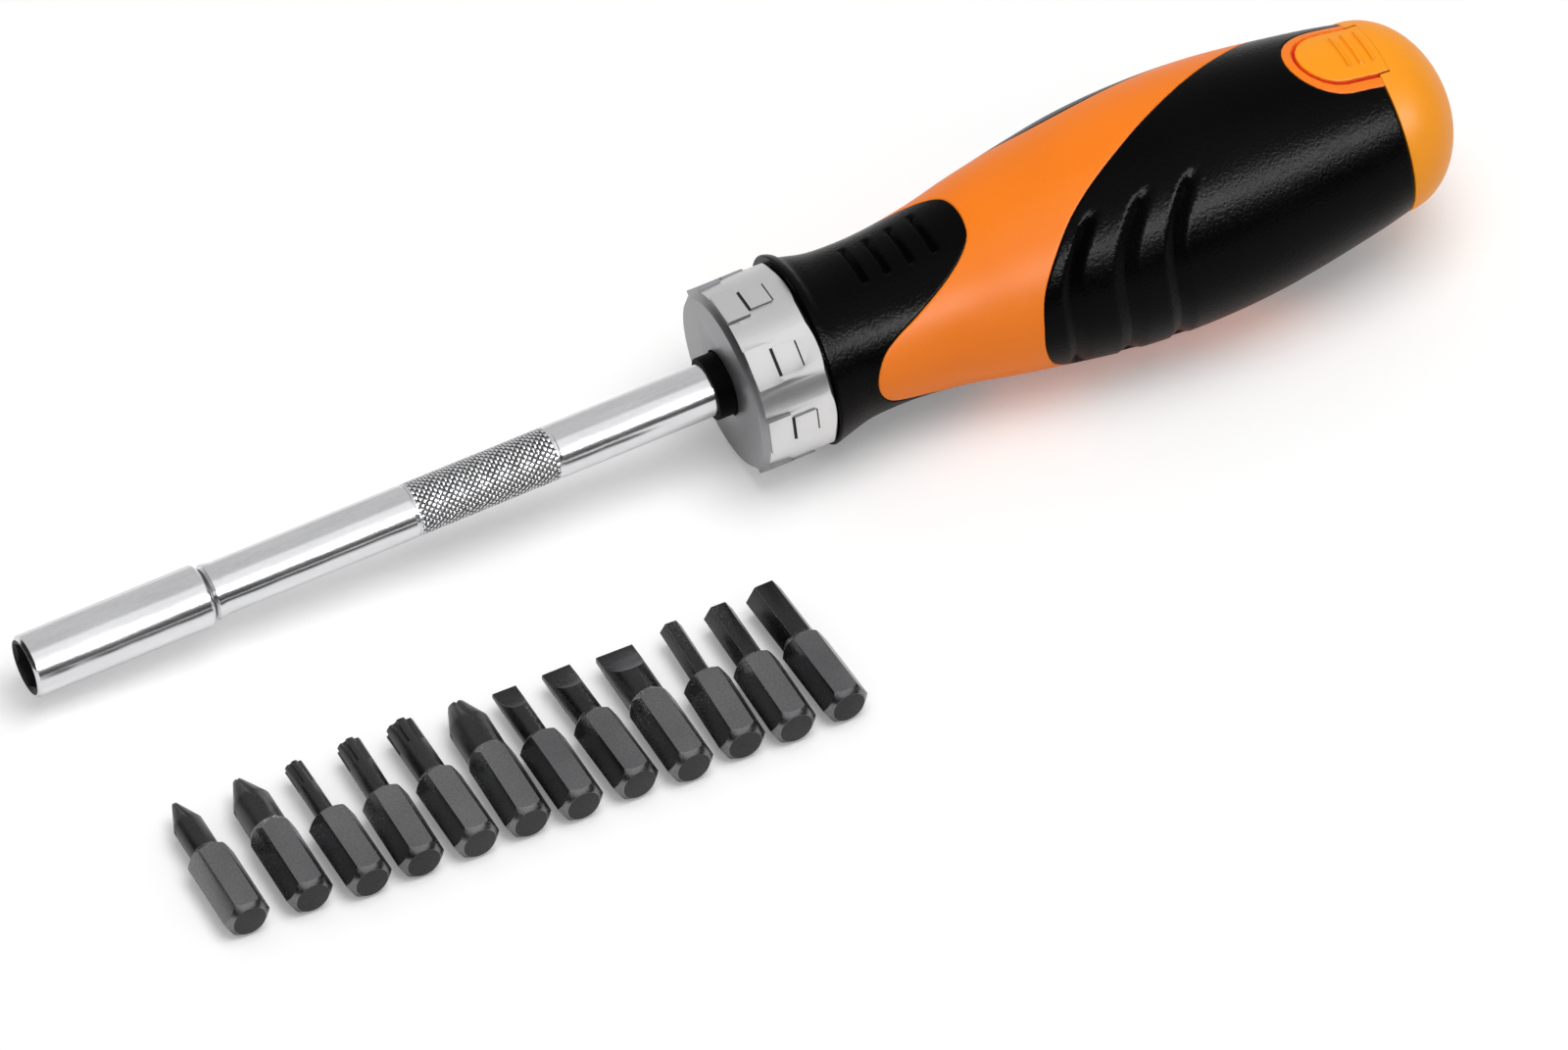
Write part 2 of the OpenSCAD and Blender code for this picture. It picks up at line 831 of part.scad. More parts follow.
module latch_tongue() {
    color(cap_orange) lay_down() {
        intersection() {
            skin_ring(latch_front - cut, latch_root, 0, latch_t);
            outwards(0, belly_r)
                tongue_shape(latch_front, latch_root + cut, latch_w);
        }
        intersection() {
            skin_ring(latch_front, latch_root, -rib_high, latch_t / 2);
            outwards(0, belly_r)
                for (i = [0 : rib_count - 1])
                translate([-rib_len / 2, latch_front + rib_first + rib_pitch * i - rib_w / 2])
                square([rib_len, rib_w]);
        }
        intersection() {
            skin_ring(latch_front, latch_root, latch_t / 2, latch_t + hook_high);
            outwards(0, belly_r)
                translate([-latch_w / 4, latch_front + hook_len])
                square([latch_w / 2, hook_len]);
        }
    }
}

// Bits: the row lies flat, with the chamfered ends towards the viewer
bit_r = bit_af / sqrt(3);
bit_chamfer = 1.1;
bit_shoulder = 1.6;

// How far each bit lies from its even place, across and along, as shares of the pitch
stray_shares = [
    [0, 0], [0.163, 0], [0.198, -0.117], [0.163, -0.102], [0.186, -0.115], [0.15, -0.085],
    [0.107, -0.119], [0.149, -0.094], [0.127, -0.156], [0.121, -0.071], [0.055, -0.11],
    [0.05, -0.066]
];
// How far each bit is turned, in degrees
stray_turn = [0, 0, 1, -0.3, 1.4, -0.4, 1.4, 2.8, 1.3, -0.6, 0.8, 3.4];

module bit_place(index) {
    stray = bit_pitch * stray_shares[index];
    translate([
        row_start + bit_pitch * index + stray[0] - centre_x,
        stray[1] - row_gap - bit_len - centre_y,
        bit_af / 2
    ])
        rotate([0, 0, stray_turn[index]])
        rotate([-90, 0, 0])
        children();
}

// The hexagonal part with its end chamfer and the cone down to the neck
module bit_hex(neck_r, length) {
    intersection() {
        cylinder(h = length, r = bit_r, $fn = 6);
        rotate_extrude()
            polygon([
                [0, 0], [bit_r - bit_chamfer, 0], [bit_r, bit_chamfer],
                [bit_r, length - bit_shoulder], [neck_r, length], [0, length]
            ]);
    }
}

// A cross point: a cone with four flutes on a round neck
flute_root_share = 0.34;
flute_run_share = 1.3;
small_cross_shares = [0.72, 0.72, 0.14];
medium_cross_shares = [0.93, 0.76, 0.24];
large_cross_shares = [0.98, 0.69, 0.44];

// The shares of a bit's width are the neck, the length of the cone and the end of the cone
module bit_phillips(index, shares) {
    neck_r = bit_af * shares[0] / 2;
    cone_len = bit_af * shares[1];
    end_r = bit_af * shares[2] / 2;
    root = 2 * end_r * flute_root_share;
    slant = atan((neck_r - root) / (cone_len * flute_run_share));
    color(bit_black) bit_place(index) {
        bit_hex(neck_r, hex_len);
        difference() {
            rotate_extrude()
                polygon([
                    [0, hex_len - cut], [neck_r, hex_len - cut],
                    [neck_r, bit_len - cone_len], [end_r, bit_len], [0, bit_len]
                ]);
            for (side = [0 : 90 : 270])
                rotate([0, 0, side])
                translate([root, 0, bit_len])
                rotate([0, -slant, 0])
                rotate([0, 0, -45])
                translate([0, 0, -2 * cone_len])
                cube([2 * neck_r, 2 * neck_r, 2 * cone_len + 2 * neck_r]);
        }
    }
}

// A six-lobed star on a round neck, its width as a share of the bit's
star_flute_share = 0.56;
star_scoop_share = 0.143;
star_len = 4.5;

module bit_star(index, share) {
    star_d = bit_af * share;
    color(bit_black) bit_place(index) {
        bit_hex(star_d / 2, hex_len);
        difference() {
            translate([0, 0, hex_len - cut])
                cylinder(h = bit_len - hex_len + cut, d = star_d);
            for (side = [0 : 60 : 300])
                rotate([0, 0, side])
                translate([star_d * star_flute_share, 0, bit_len - star_len])
                cylinder(h = star_len + cut, r = star_d * star_scoop_share);
        }
    }
}

// A flat blade, scooped from both sides out of a round neck
scoop_r = 9;
narrow_blade_shares = [0.126, 0.61];
medium_blade_shares = [0.142, 0.724];
wide_blade_shares = [0.173, 0.93];

// The shares of a bit's width are the blade's thickness and the neck
module bit_slot(index, shares) {
    blade_t = bit_af * shares[0];
    neck_d = bit_af * shares[1];
    color(bit_black) bit_place(index) {
        bit_hex(neck_d / 2, hex_len);
        difference() {
            translate([0, 0, hex_len - cut])
                cylinder(h = bit_len - hex_len + cut, d = neck_d);
            for (side = [-1, 1])
                translate([0, side * (blade_t / 2 + scoop_r), bit_len])
                rotate([0, 90, 0])
                cylinder(h = 2 * neck_d, r = scoop_r, center = true);
        }
    }
}

// A plain hexagonal key, its width as a share of the bit's
module bit_key(index, share) {
    key_af = bit_af * share;
    color(bit_black) bit_place(index) {
        bit_hex(key_af / 2, hex_len);
        translate([0, 0, hex_len - cut])
            cylinder(h = bit_len - hex_len + cut, r = key_af / sqrt(3), $fn = 6);
    }
}

module bit_phillips_small() { bit_phillips(0, small_cross_shares); }
module bit_phillips_medium() { bit_phillips(1, medium_cross_shares); }
module bit_star_small() { bit_star(2, 0.47); }
module bit_star_medium() { bit_star(3, 0.61); }
module bit_star_large() { bit_star(4, 0.72); }
module bit_phillips_large() { bit_phillips(5, large_cross_shares); }
module bit_slot_narrow() { bit_slot(6, narrow_blade_shares); }
module bit_slot_medium() { bit_slot(7, medium_blade_shares); }
module bit_slot_wide() { bit_slot(8, wide_blade_shares); }
module bit_hex_small() { bit_key(9, 0.47); }
module bit_hex_medium() { bit_key(10, 0.63); }
module bit_hex_large() { bit_key(11, 0.79); }

handle_core();
neck_grip();
rear_grip();
ratchet_body();
nose_bush();
pawl_pins();
pawl_springs();
detent_ball();
detent_spring();
collar_snap_ring();
shaft_bush();
thrust_washer();
shaft();
bit_holder();
socket_magnet();
ratchet_gear();
gear_circlip();
selector_collar();
forward_pawl();
reverse_pawl();
end_cap();
bit_rack();
rack_screws();
latch_tongue();
bit_phillips_small();
bit_phillips_medium();
bit_star_small();
bit_star_medium();
bit_star_large();
bit_phillips_large();
bit_slot_narrow();
bit_slot_medium();
bit_slot_wide();
bit_hex_small();
bit_hex_medium();
bit_hex_large();
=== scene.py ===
"""Ratcheting screwdriver with its loose bits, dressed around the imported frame."""
import json
import math

import bmesh
import bpy
import numpy as np
from mathutils import Matrix, Vector
from mathutils.geometry import delaunay_2d_cdt
from mathutils.kdtree import KDTree


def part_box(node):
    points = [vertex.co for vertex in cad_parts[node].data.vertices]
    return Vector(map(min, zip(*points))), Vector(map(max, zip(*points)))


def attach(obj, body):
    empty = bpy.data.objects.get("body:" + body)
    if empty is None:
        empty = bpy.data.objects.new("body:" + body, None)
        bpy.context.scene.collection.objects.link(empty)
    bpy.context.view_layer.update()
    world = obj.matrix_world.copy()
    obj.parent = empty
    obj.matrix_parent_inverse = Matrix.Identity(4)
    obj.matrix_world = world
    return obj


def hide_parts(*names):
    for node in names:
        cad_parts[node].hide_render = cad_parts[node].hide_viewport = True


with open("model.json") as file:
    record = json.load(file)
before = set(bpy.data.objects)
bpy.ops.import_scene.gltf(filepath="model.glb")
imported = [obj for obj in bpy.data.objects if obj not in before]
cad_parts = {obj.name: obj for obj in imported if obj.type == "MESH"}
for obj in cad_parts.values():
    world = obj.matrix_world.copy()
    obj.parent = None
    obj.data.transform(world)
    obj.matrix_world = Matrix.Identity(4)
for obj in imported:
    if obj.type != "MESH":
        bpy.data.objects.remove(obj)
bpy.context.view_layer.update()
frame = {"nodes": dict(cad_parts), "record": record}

MM = 0.001

# Sizes of the tool in millimetres: z runs from the holder's mouth to the cap, +x is the latch's side

REACH = 111.7
HANDLE_Z = 123.6
HANDLE_LEN = 92.5
CAP_Z = HANDLE_Z + HANDLE_LEN
SEAM = 0.15
CAP_BASE = CAP_Z + SEAM
CAP_LEN = 11.3
TOOL_LEN = CAP_BASE + CAP_LEN
BELLY_R = 18.63
GRIP_T = 1.4
SHAFT_R = 4.0
HOLDER_LEN = 28.5
CHAMBER_R = 12.4
CHAMBER_Z = 149.4
SHANK_AF = 15.6
SHANK_LEN = 22.0
LATCH_W = 10.8
LATCH_LEN = 11.7
LATCH_T = 1.6
LATCH_GAP = 0.6
LATCH_RIM = 1.35
LATCH_ROOT = CAP_BASE + LATCH_T
LATCH_FRONT = LATCH_ROOT - LATCH_LEN
CHANNEL_FRONT = LATCH_FRONT - LATCH_GAP
CHANNEL_W = LATCH_W + 2 * LATCH_GAP
WINDOW_FRONT = CHANNEL_FRONT - LATCH_RIM
WINDOW_W = LATCH_W + 2 * (LATCH_GAP + LATCH_RIM)
NECK_REACH = 27.4
NECK_VALLEY = 7.1
LOBE_FRONT = 32.4
LOBE_RISE = 50.0
LOBE_LEAN = -0.26
LOBE_TURN = 91.0
LIE_TILT = 3.68235
LIE_ROLL = 5.0
CENTRE_X = 113.54
ROW_GAP = 30.2
BIT_LEN = 25.0
CENTRE_Y = (BELLY_R - ROW_GAP - BIT_LEN) / 2
MOUTH_HEIGHT = 7.08866

# Small allowances and mesh steps, also in millimetres

EDGE_EASE = 0.03
END_EASE = 0.02
GRIP_SKIN_T = GRIP_T - 0.05
BAND_T = GRIP_T - 0.02
RIM_T = GRIP_T + 0.3
PAST_END = 4.0
LINE_STEP = 0.08
ROW_STEP = 0.3
ROW_CLEAR = 0.22
OVERRUN = 1.0

TOOL = (
    Matrix.Translation((-CENTRE_X, -CENTRE_Y, MOUTH_HEIGHT))
    @ Matrix.Rotation(math.radians(90 - LIE_TILT), 4, "Y")
    @ Matrix.Rotation(math.radians(180 - LIE_ROLL), 4, "Z")
)
TOOL_ROT = np.array(TOOL.to_3x3())
TOOL_POS = np.array(TOOL.translation)
TO_TOOL = TOOL.inverted()

# Outlines: shares of the handle's length and belly, and of each wave's period and rise

HANDLE_SHARES = [
    (0, 0.778), (0.038, 0.725), (0.069, 0.69), (0.105, 0.678), (0.15, 0.68), (0.2, 0.702),
    (0.26, 0.747), (0.322, 0.812), (0.385, 0.868), (0.449, 0.922), (0.511, 0.966),
    (0.575, 0.992), (0.638, 1), (0.7, 0.994), (0.764, 0.972), (0.827, 0.934),
    (0.891, 0.885), (0.954, 0.832), (1, 0.784),
]
NECK_SHARES = [
    (0, 1), (0.11, 0.99), (0.21, 0.955), (0.31, 0.86), (0.41, 0.714), (0.5, 0.555),
    (0.59, 0.385), (0.67, 0.225), (0.76, 0.1), (0.88, 0.025),
]
LOBE_SHARES = [
    (0, 0), (0.139, 0.026), (0.263, 0.122), (0.344, 0.236), (0.425, 0.424), (0.509, 0.64),
    (0.586, 0.818), (0.646, 0.912), (0.686, 0.965), (0.702, 0.985), (0.708, 0.94),
    (0.706, 0.84), (0.694, 0.68), (0.672, 0.5), (0.662, 0.36), (0.678, 0.23), (0.727, 0.12),
    (0.8, 0.045), (0.9, 0.008),
]
OUTLINE_STEPS = 8
WAVE_STEPS = 10
DOME_STEPS = 60


# Curves on the handle's skin

def between(a, b, c, d, t):
    """The point at share t of the way from b to c, on a smooth curve through all four."""
    return (
        b + t * (c - a) / 2 + t * t * (a - 2.5 * b + 2 * c - d / 2)
        + t ** 3 * (3 * b - a - 3 * c + d) / 2
    )


def smooth(points, steps):
    """A smooth curve through the points."""
    knots = [np.array(point, float) for point in points]
    last = len(knots) - 1
    out = []
    for i in range(last):
        around = knots[max(i - 1, 0)], knots[i], knots[i + 1], knots[min(i + 2, last)]
        out += [between(*around, s / steps) for s in range(steps)]
    return np.array(out + [knots[last]])


def closed_wave(points, steps):
    """Two periods of a wave whose first value runs from 0 to 1 in each."""
    knots = [np.array(point, float) for point in points]
    count = len(knots)

    def knot(i):
        return knots[i % count] + np.array([i // count, 0])

    out = []
    for period in (0, 1):
        for i in range(count):
            around = knot(i - 1), knot(i), knot(i + 1), knot(i + 2)
            out += [between(*around, s / steps) + [period, 0] for s in range(steps)]
    return np.array(out)


belly_line = smooth(HANDLE_SHARES, OUTLINE_STEPS)
dome_turn = np.radians(np.linspace(0, 90, DOME_STEPS))
dome_r = BELLY_R * HANDLE_SHARES[-1][1]
SKIN_Z = np.concatenate([HANDLE_Z + HANDLE_LEN * belly_line[:, 0], CAP_BASE + CAP_LEN * np.sin(dome_turn)])
SKIN_R = np.concatenate([BELLY_R * belly_line[:, 1], dome_r * np.cos(dome_turn)])


def skin_r(z):
    """The radius of the handle and cap at z."""
    return np.interp(z, SKIN_Z, SKIN_R)


half_neck = [(share / 2, rise) for share, rise in NECK_SHARES]
whole_neck = half_neck + [(0.5, 0)] + [(1 - share, rise) for share, rise in half_neck[:0:-1]]
neck_wave = closed_wave(whole_neck, WAVE_STEPS)
NECK_WAVE = np.stack([
    180 * neck_wave[:, 0],
    HANDLE_Z + NECK_VALLEY + (NECK_REACH - NECK_VALLEY) * neck_wave[:, 1],
], 1)
lobe_wave = closed_wave(LOBE_SHARES, WAVE_STEPS)
LOBE_WAVE = np.stack([
    LOBE_TURN - 180 * lobe_wave[:, 0] + LOBE_LEAN * LOBE_RISE * lobe_wave[:, 1],
    HANDLE_Z + LOBE_FRONT + LOBE_RISE * lobe_wave[:, 1],
], 1)


def on_skin(pz, r=None):
    """Points given as [angle, z] on the skin, or at radius r, in the tool's frame."""
    a = np.radians(pz[:, 0])
    r = skin_r(pz[:, 1]) if r is None else r
    return np.stack([r * np.cos(a), r * np.sin(a), pz[:, 1]], 1)


def placed(points):
    """Points in the tool's frame, in millimetres, as points in the row's frame, in metres."""
    return (np.asarray(points, float) @ TOOL_ROT.T + TOOL_POS) * MM


def in_tool(point):
    """A point of the row's frame, in metres, as one in the tool's frame, in millimetres."""
    return TO_TOOL @ (point / MM)


def ring_at(z, steps=720):
    """A circle round the skin, as [angle, z]."""
    return np.stack([np.linspace(0, 360, steps, endpoint=False), np.full(steps, z)], 1)


def tongue_line(front, end, width, steps=40):
    """The outline of a tongue with a round front, as [angle, z] on the skin."""
    half = width / 2
    side = np.linspace(end, front + half, steps)
    arc = np.linspace(0, math.pi, steps)[1:-1]
    yz = np.concatenate([
        np.stack([np.full_like(side, half), side], 1),
        np.stack([half * np.cos(arc), front + half - half * np.sin(arc)], 1),
        np.stack([np.full_like(side, -half), side[::-1]], 1),
    ])
    angle = np.degrees(np.arcsin(yz[:, 0] / skin_r(yz[:, 1])))
    return np.stack([angle, yz[:, 1]], 1)


def strip_between(outer, inner):
    """A closed loop out along one open line and back along another."""
    return np.vstack([outer, inner[::-1]])


def resampled(pz, step, closed=True):
    """The same curve with points at an even distance on the skin."""
    line = np.vstack([pz, pz[:1]]) if closed else pz.copy()
    line[:, 0] = np.degrees(np.unwrap(np.radians(line[:, 0])))
    lengths = np.linalg.norm(np.diff(on_skin(line), axis=0), axis=1)
    keep = np.concatenate([[True], lengths > 1e-9])
    line, run = line[keep], np.concatenate([[0], np.cumsum(lengths)])[keep]
    places = np.linspace(0, run[-1], max(int(round(run[-1] / step)), 8) + 1)
    out = np.stack([np.interp(places, run, line[:, 0]), np.interp(places, run, line[:, 1])], 1)
    return out[:-1] if closed else out


# Patches of the skin

FLAT_R = 16.0
EDGE_SHARES = (0.06, 0.2, 0.42, 0.7, 1.0, 1.6)
EDGE_KEEP_SHARE, CELL_KEEP_SHARE, ROW_KEEP = 0.85, 0.35, 0.1
CELL_RISE = 0.866
FIRST_ROW = 0.37
SHAKE_ROUND, SHAKE_ALONG = 0.07, 0.05


def flat(pz):
    """The skin unrolled into a ring round the origin, so that nothing has to be cut open."""
    rho = np.exp((pz[:, 1] - HANDLE_Z) / FLAT_R)
    a = np.radians(pz[:, 0])
    return np.stack([rho * np.cos(a), rho * np.sin(a)], 1)


def unflat(xy):
    """The [angle, z] of flat points."""
    rho = np.hypot(xy[:, 0], xy[:, 1])
    return np.stack([np.degrees(np.arctan2(xy[:, 1], xy[:, 0])), HANDLE_Z + FLAT_R * np.log(rho)], 1)


def inside(points, loops):
    """Which flat points lie inside an odd number of the flat loops."""
    x, y = points[:, 0], points[:, 1]
    hit = np.zeros(len(points), bool)
    for loop in loops:
        for (x1, y1), (x2, y2) in zip(loop, np.roll(loop, -1, axis=0)):
            if y1 == y2:
                continue
            span = (y1 > y) != (y2 > y)
            hit[span] ^= x[span] < (x2 - x1) * (y[span] - y1) / (y2 - y1) + x1
    return hit


def tree_of(points):
    """A search tree of points."""
    tree = KDTree(len(points))
    for i, point in enumerate(points):
        tree.insert(point, i)
    tree.balance()
    return tree


def distance_to(loop, points):
    """The distance in millimetres from points on the skin to a closed curve on it."""
    tree = tree_of(on_skin(resampled(loop, LINE_STEP)))
    return np.array([tree.find(point)[2] for point in points])


def nearest(loops, pz):
    """The distance in millimetres from [angle, z] points to the nearest of the loops."""
    points = on_skin(pz)
    return np.min([distance_to(loop, points) for loop in loops], axis=0)


def edge_rows(loops, lines, flats, rounds):
    """Rows of points on both sides of each loop, closest together at its edge."""
    rows = []
    for line, radius in zip(lines, rounds):
        r = skin_r(line[:, 1])
        step = np.roll(line, -1, axis=0) - np.roll(line, 1, axis=0)
        turn = np.radians(step[:, 0])
        turn = np.degrees(np.arctan2(np.sin(turn), np.cos(turn)))
        sx, sz = np.radians(turn) * r, step[:, 1]
        size = np.hypot(sx, sz)
        across = np.stack([np.degrees(-sz / size / r), sx / size], 1)
        for side in (1, -1):
            for share in EDGE_SHARES:
                reach = radius * share
                row = line + side * reach * across
                row = row[inside(flat(row), flats)]
                if len(row):
                    rows.append(row[nearest(loops, row) > EDGE_KEEP_SHARE * reach])
    return rows


def lattice(low, high, cell):
    """Points spread over the skin between two heights, a little out of line with each other."""
    count = max(int((high - low) / (cell * CELL_RISE)), 1)
    rows = []
    for j in range(count + 1):
        z = low + (high - low) * (j + FIRST_ROW) / (count + 1)
        n = int(round(2 * math.pi * float(skin_r(z)) / cell))
        k = np.arange(n)
        a = 360 * (k + 0.5 * (j % 2) + SHAKE_ROUND * np.sin(12.9898 * k + 78.233 * j)) / n
        rows.append(np.stack([a, z + SHAKE_ALONG * cell * np.sin(39.3 * k + 11.1 * j)], 1))
    return np.vstack(rows)


def triangulated(points, lines, flats):
    """The points and triangles inside the loops, from flat points that begin with the loops'."""
    edges, base = [], 0
    for line in lines:
        n = len(line)
        edges += [(base + i, base + (i + 1) % n) for i in range(n)]
        base += n
    made = delaunay_2d_cdt([Vector(point) for point in points], edges, [], 0, 1e-7)
    xy = np.array([tuple(point) for point in made[0]])
    tris = np.array([face for face in made[2] if len(face) == 3])
    tris = tris[inside(xy[tris].mean(1), flats)]
    used = np.unique(tris)
    index = np.full(len(xy), -1)
    index[used] = np.arange(len(used))
    return xy[used], index[tris]


def patch(name, loops, rounds, thickness, cell, edge, height=None, soften=None, along=()):
    """A piece of the skin between closed loops, with rounded edges, as a closed mesh.

    rounds holds the edge radius of each loop, or of each loop of soften where that is given.
    height(angle and z, nearest distances) raises or lowers the skin, and along holds open
    curves that get rows of points of their own, such as the bottoms of grooves.
    """
    lines = [resampled(loop, edge) for loop in loops]
    flats = [flat(line) for line in lines]
    border = np.vstack(lines)
    seeds = [border] + edge_rows(loops, lines, flats, rounds)
    rim_reach = EDGE_SHARES[-1] * max(rounds)
    if along:
        rows = np.vstack([resampled(curve, ROW_STEP, closed=False) for curve in along])
        rows = rows[inside(flat(rows), flats)]
        rows = rows[nearest(loops, rows) > rim_reach + ROW_KEEP]
        seeds.append(rows)
        row_tree = tree_of(on_skin(rows))
    grid = lattice(border[:, 1].min(), border[:, 1].max(), cell)
    grid = grid[inside(flat(grid), flats)]
    if len(grid):
        grid = grid[nearest(loops, grid) > rim_reach + CELL_KEEP_SHARE * cell]
        if along:
            grid = grid[[row_tree.find(point)[2] > ROW_CLEAR for point in on_skin(grid)]]
        seeds.append(grid)
    xy, tris = triangulated(flat(np.vstack(seeds)), lines, flats)
    pz = unflat(xy)
    middle = on_skin(pz)
    near = [distance_to(loop, middle) for loop in soften or loops]
    drop = np.zeros(len(pz))
    for distance, radius in zip(near, rounds):
        t = np.clip(radius - distance, 0, radius)
        drop = np.maximum(drop, radius - np.sqrt(np.maximum(radius ** 2 - t ** 2, 0)))
    skin = skin_r(pz[:, 1])
    lift = height(pz, near) if height else 0
    top = on_skin(pz, skin - drop + lift)
    bottom = on_skin(pz, skin - thickness)
    a, b, c = top[tris[:, 0]], top[tris[:, 1]], top[tris[:, 2]]
    normal = np.cross(b - a, c - a)
    inward = (normal[:, :2] * a[:, :2]).sum(1) <= 0
    tris[inward] = tris[inward][:, ::-1]
    sides = dict.fromkeys((tri[i], tri[(i + 1) % 3]) for tri in tris for i in range(3))
    rim = [side for side in sides if side[::-1] not in sides]
    n = len(pz)
    faces = [tuple(tri) for tri in tris] + [tuple(n + i for i in tri[::-1]) for tri in tris]
    faces += [(end, start, start + n, end + n) for start, end in rim]
    return mesh_piece(name, np.vstack([top, bottom]), faces)


# Solids

LATHE_STEPS = 160
ROUND_STEPS = 5
TONGUE_STEPS = 32


def mesh_piece(name, points, faces, angle=35):
    """A new object from points in the tool's frame, in millimetres."""
    mesh = bpy.data.meshes.new(name)
    mesh.from_pydata(
        [tuple(point) for point in placed(points)], [], [tuple(int(i) for i in face) for face in faces],
    )
    mesh.validate()
    mesh.polygons.foreach_set("use_smooth", [True] * len(mesh.polygons))
    mesh.set_sharp_from_angle(angle=math.radians(angle))
    obj = bpy.data.objects.new(name, mesh)
    bpy.context.scene.collection.objects.link(obj)
    return obj


def fix_normals(obj):
    """Turns all faces of a closed mesh outwards."""
    bm = bmesh.new()
    bm.from_mesh(obj.data)
    bmesh.ops.recalc_face_normals(bm, faces=bm.faces)
    bm.to_mesh(obj.data)
    bm.free()


def lathe(name, profile, steps=LATHE_STEPS):
    """A closed profile of [r, z] points turned round the tool's axis."""
    points, rows = [], []
    for r, z in profile:
        if r < 1e-6:
            rows.append([len(points)] * steps)
            points.append((0, 0, z))
        else:
            rows.append(list(range(len(points), len(points) + steps)))
            turns = [2 * math.pi * k / steps for k in range(steps)]
            points += [(r * math.cos(a), r * math.sin(a), z) for a in turns]
    faces = []
    for low, high in zip(rows, rows[1:] + rows[:1]):
        for k in range(steps):
            quad = [low[k], low[(k + 1) % steps], high[(k + 1) % steps], high[k]]
            quad = [v for i, v in enumerate(quad) if v not in quad[:i]]
            if len(quad) > 2:
                faces.append(quad)
    obj = mesh_piece(name, points, faces)
    fix_normals(obj)
    return obj


def rounded(corners):
    """A closed profile of [r, z, radius] corners with each of them rounded by its radius."""
    profile = [Vector(corner[:2]) for corner in corners]
    out, n = [], len(profile)
    for i, (corner, (_, _, radius)) in enumerate(zip(profile, corners)):
        if not radius:
            out.append(tuple(corner))
            continue
        a, b = profile[i - 1] - corner, profile[(i + 1) % n] - corner
        half = a.angle(b) / 2
        cut = min(radius / math.tan(half), a.length * 0.49, b.length * 0.49)
        start, end = corner + a.normalized() * cut, corner + b.normalized() * cut
        for s in range(ROUND_STEPS + 1):
            t = s / ROUND_STEPS
            out.append(tuple(start.lerp(corner, t).lerp(corner.lerp(end, t), t)))
    return out


def prism(outline, low, high, axis="x"):
    """A cutter: an outline of [y, z] points pushed out along x, or one of [x, y] along z."""
    n = len(outline)
    if axis == "x":
        points = [(low, y, z) for y, z in outline] + [(high, y, z) for y, z in outline]
    else:
        points = [(x, y, low) for x, y in outline] + [(x, y, high) for x, y in outline]
    faces = [list(range(n))[::-1], list(range(n, 2 * n))]
    faces += [(i, (i + 1) % n, n + (i + 1) % n, n + i) for i in range(n)]
    obj = mesh_piece("cutter", points, faces)
    fix_normals(obj)
    return obj


def tongue_outline(front, end, width):
    """The same tongue as tongue_line draws, as [y, z] points straight across."""
    half = width / 2
    arc = np.linspace(0, math.pi, TONGUE_STEPS)
    nose = [(half * math.cos(a), front + half - half * math.sin(a)) for a in arc]
    return [(half, end)] + nose + [(-half, end)]


def apply_modifiers(obj):
    """Replaces the object's mesh by the one that its modifiers make."""
    deps = bpy.context.evaluated_depsgraph_get()
    mesh = bpy.data.meshes.new_from_object(obj.evaluated_get(deps))
    obj.modifiers.clear()
    old = obj.data
    obj.data = mesh
    mesh.name = old.name
    bpy.data.meshes.remove(old)


def cut_with(obj, cutter):
    """Takes the cutter's shape out of the object and removes the cutter."""
    mod = obj.modifiers.new("cut", "BOOLEAN")
    mod.operation = "DIFFERENCE"
    mod.solver = "EXACT"
    mod.object = cutter
    apply_modifiers(obj)
    bpy.data.objects.remove(cutter)


# Shader nodes

def feed(tree, socket, value):
    """Links an output to the socket, or sets the socket's own value."""
    if isinstance(value, bpy.types.NodeSocket):
        tree.links.new(value, socket)
    else:
        socket.default_value = value


def add_node(tree, kind, inputs, **settings):
    """A shader node with its settings, and with values or links on its inputs."""
    node = tree.nodes.new("ShaderNode" + kind)
    for key, value in settings.items():
        setattr(node, key, value)
    for socket, value in inputs.items():
        feed(tree, node.inputs[socket], value)
    return node


def maths(tree, operation, *values):
    """The result of a sum on values and outputs."""
    return add_node(tree, "Math", dict(enumerate(values)), operation=operation).outputs[0]


def colour_ramp(tree, value, stops):
    """The colour at a value; the first two stops are the ends, and the others lie between."""
    node = add_node(tree, "ValToRGB", {"Fac": value})
    elements = node.color_ramp.elements
    for i, (place, colour) in enumerate(stops):
        if i < 2:
            stop = elements[i]
            stop.position = place
        else:
            stop = elements.new(place)
        stop.color = colour
    return node.outputs["Color"]


def map_range(tree, value, start, end, low=0.0, high=1.0, kind="LINEAR"):
    """The value's place between start and end, as one between low and high."""
    inputs = {"Value": value, "From Min": start, "From Max": end, "To Min": low, "To Max": high}
    return add_node(tree, "MapRange", inputs, interpolation_type=kind).outputs["Result"]


def mixed(tree, share, a, b):
    """A mix of two colours."""
    return add_node(tree, "Mix", {"Factor": share, "A": a, "B": b}, data_type="RGBA").outputs["Result"]


def grey(level):
    """A grey as a shader's colour."""
    return (level, level, level, 1)


# Materials

NOISE_LOW, NOISE_HIGH = 0.3, 0.7
LARGE_SHARE, FINE_SHARE = 0.55, 0.45
DARKER = 0.93


def srgb(code):
    """The linear colour of a hex code."""
    parts = [int(code[i:i + 2], 16) / 255 for i in (1, 3, 5)]
    return [c / 12.92 if c <= 0.04045 else ((c + 0.055) / 1.055) ** 2.4 for c in parts]


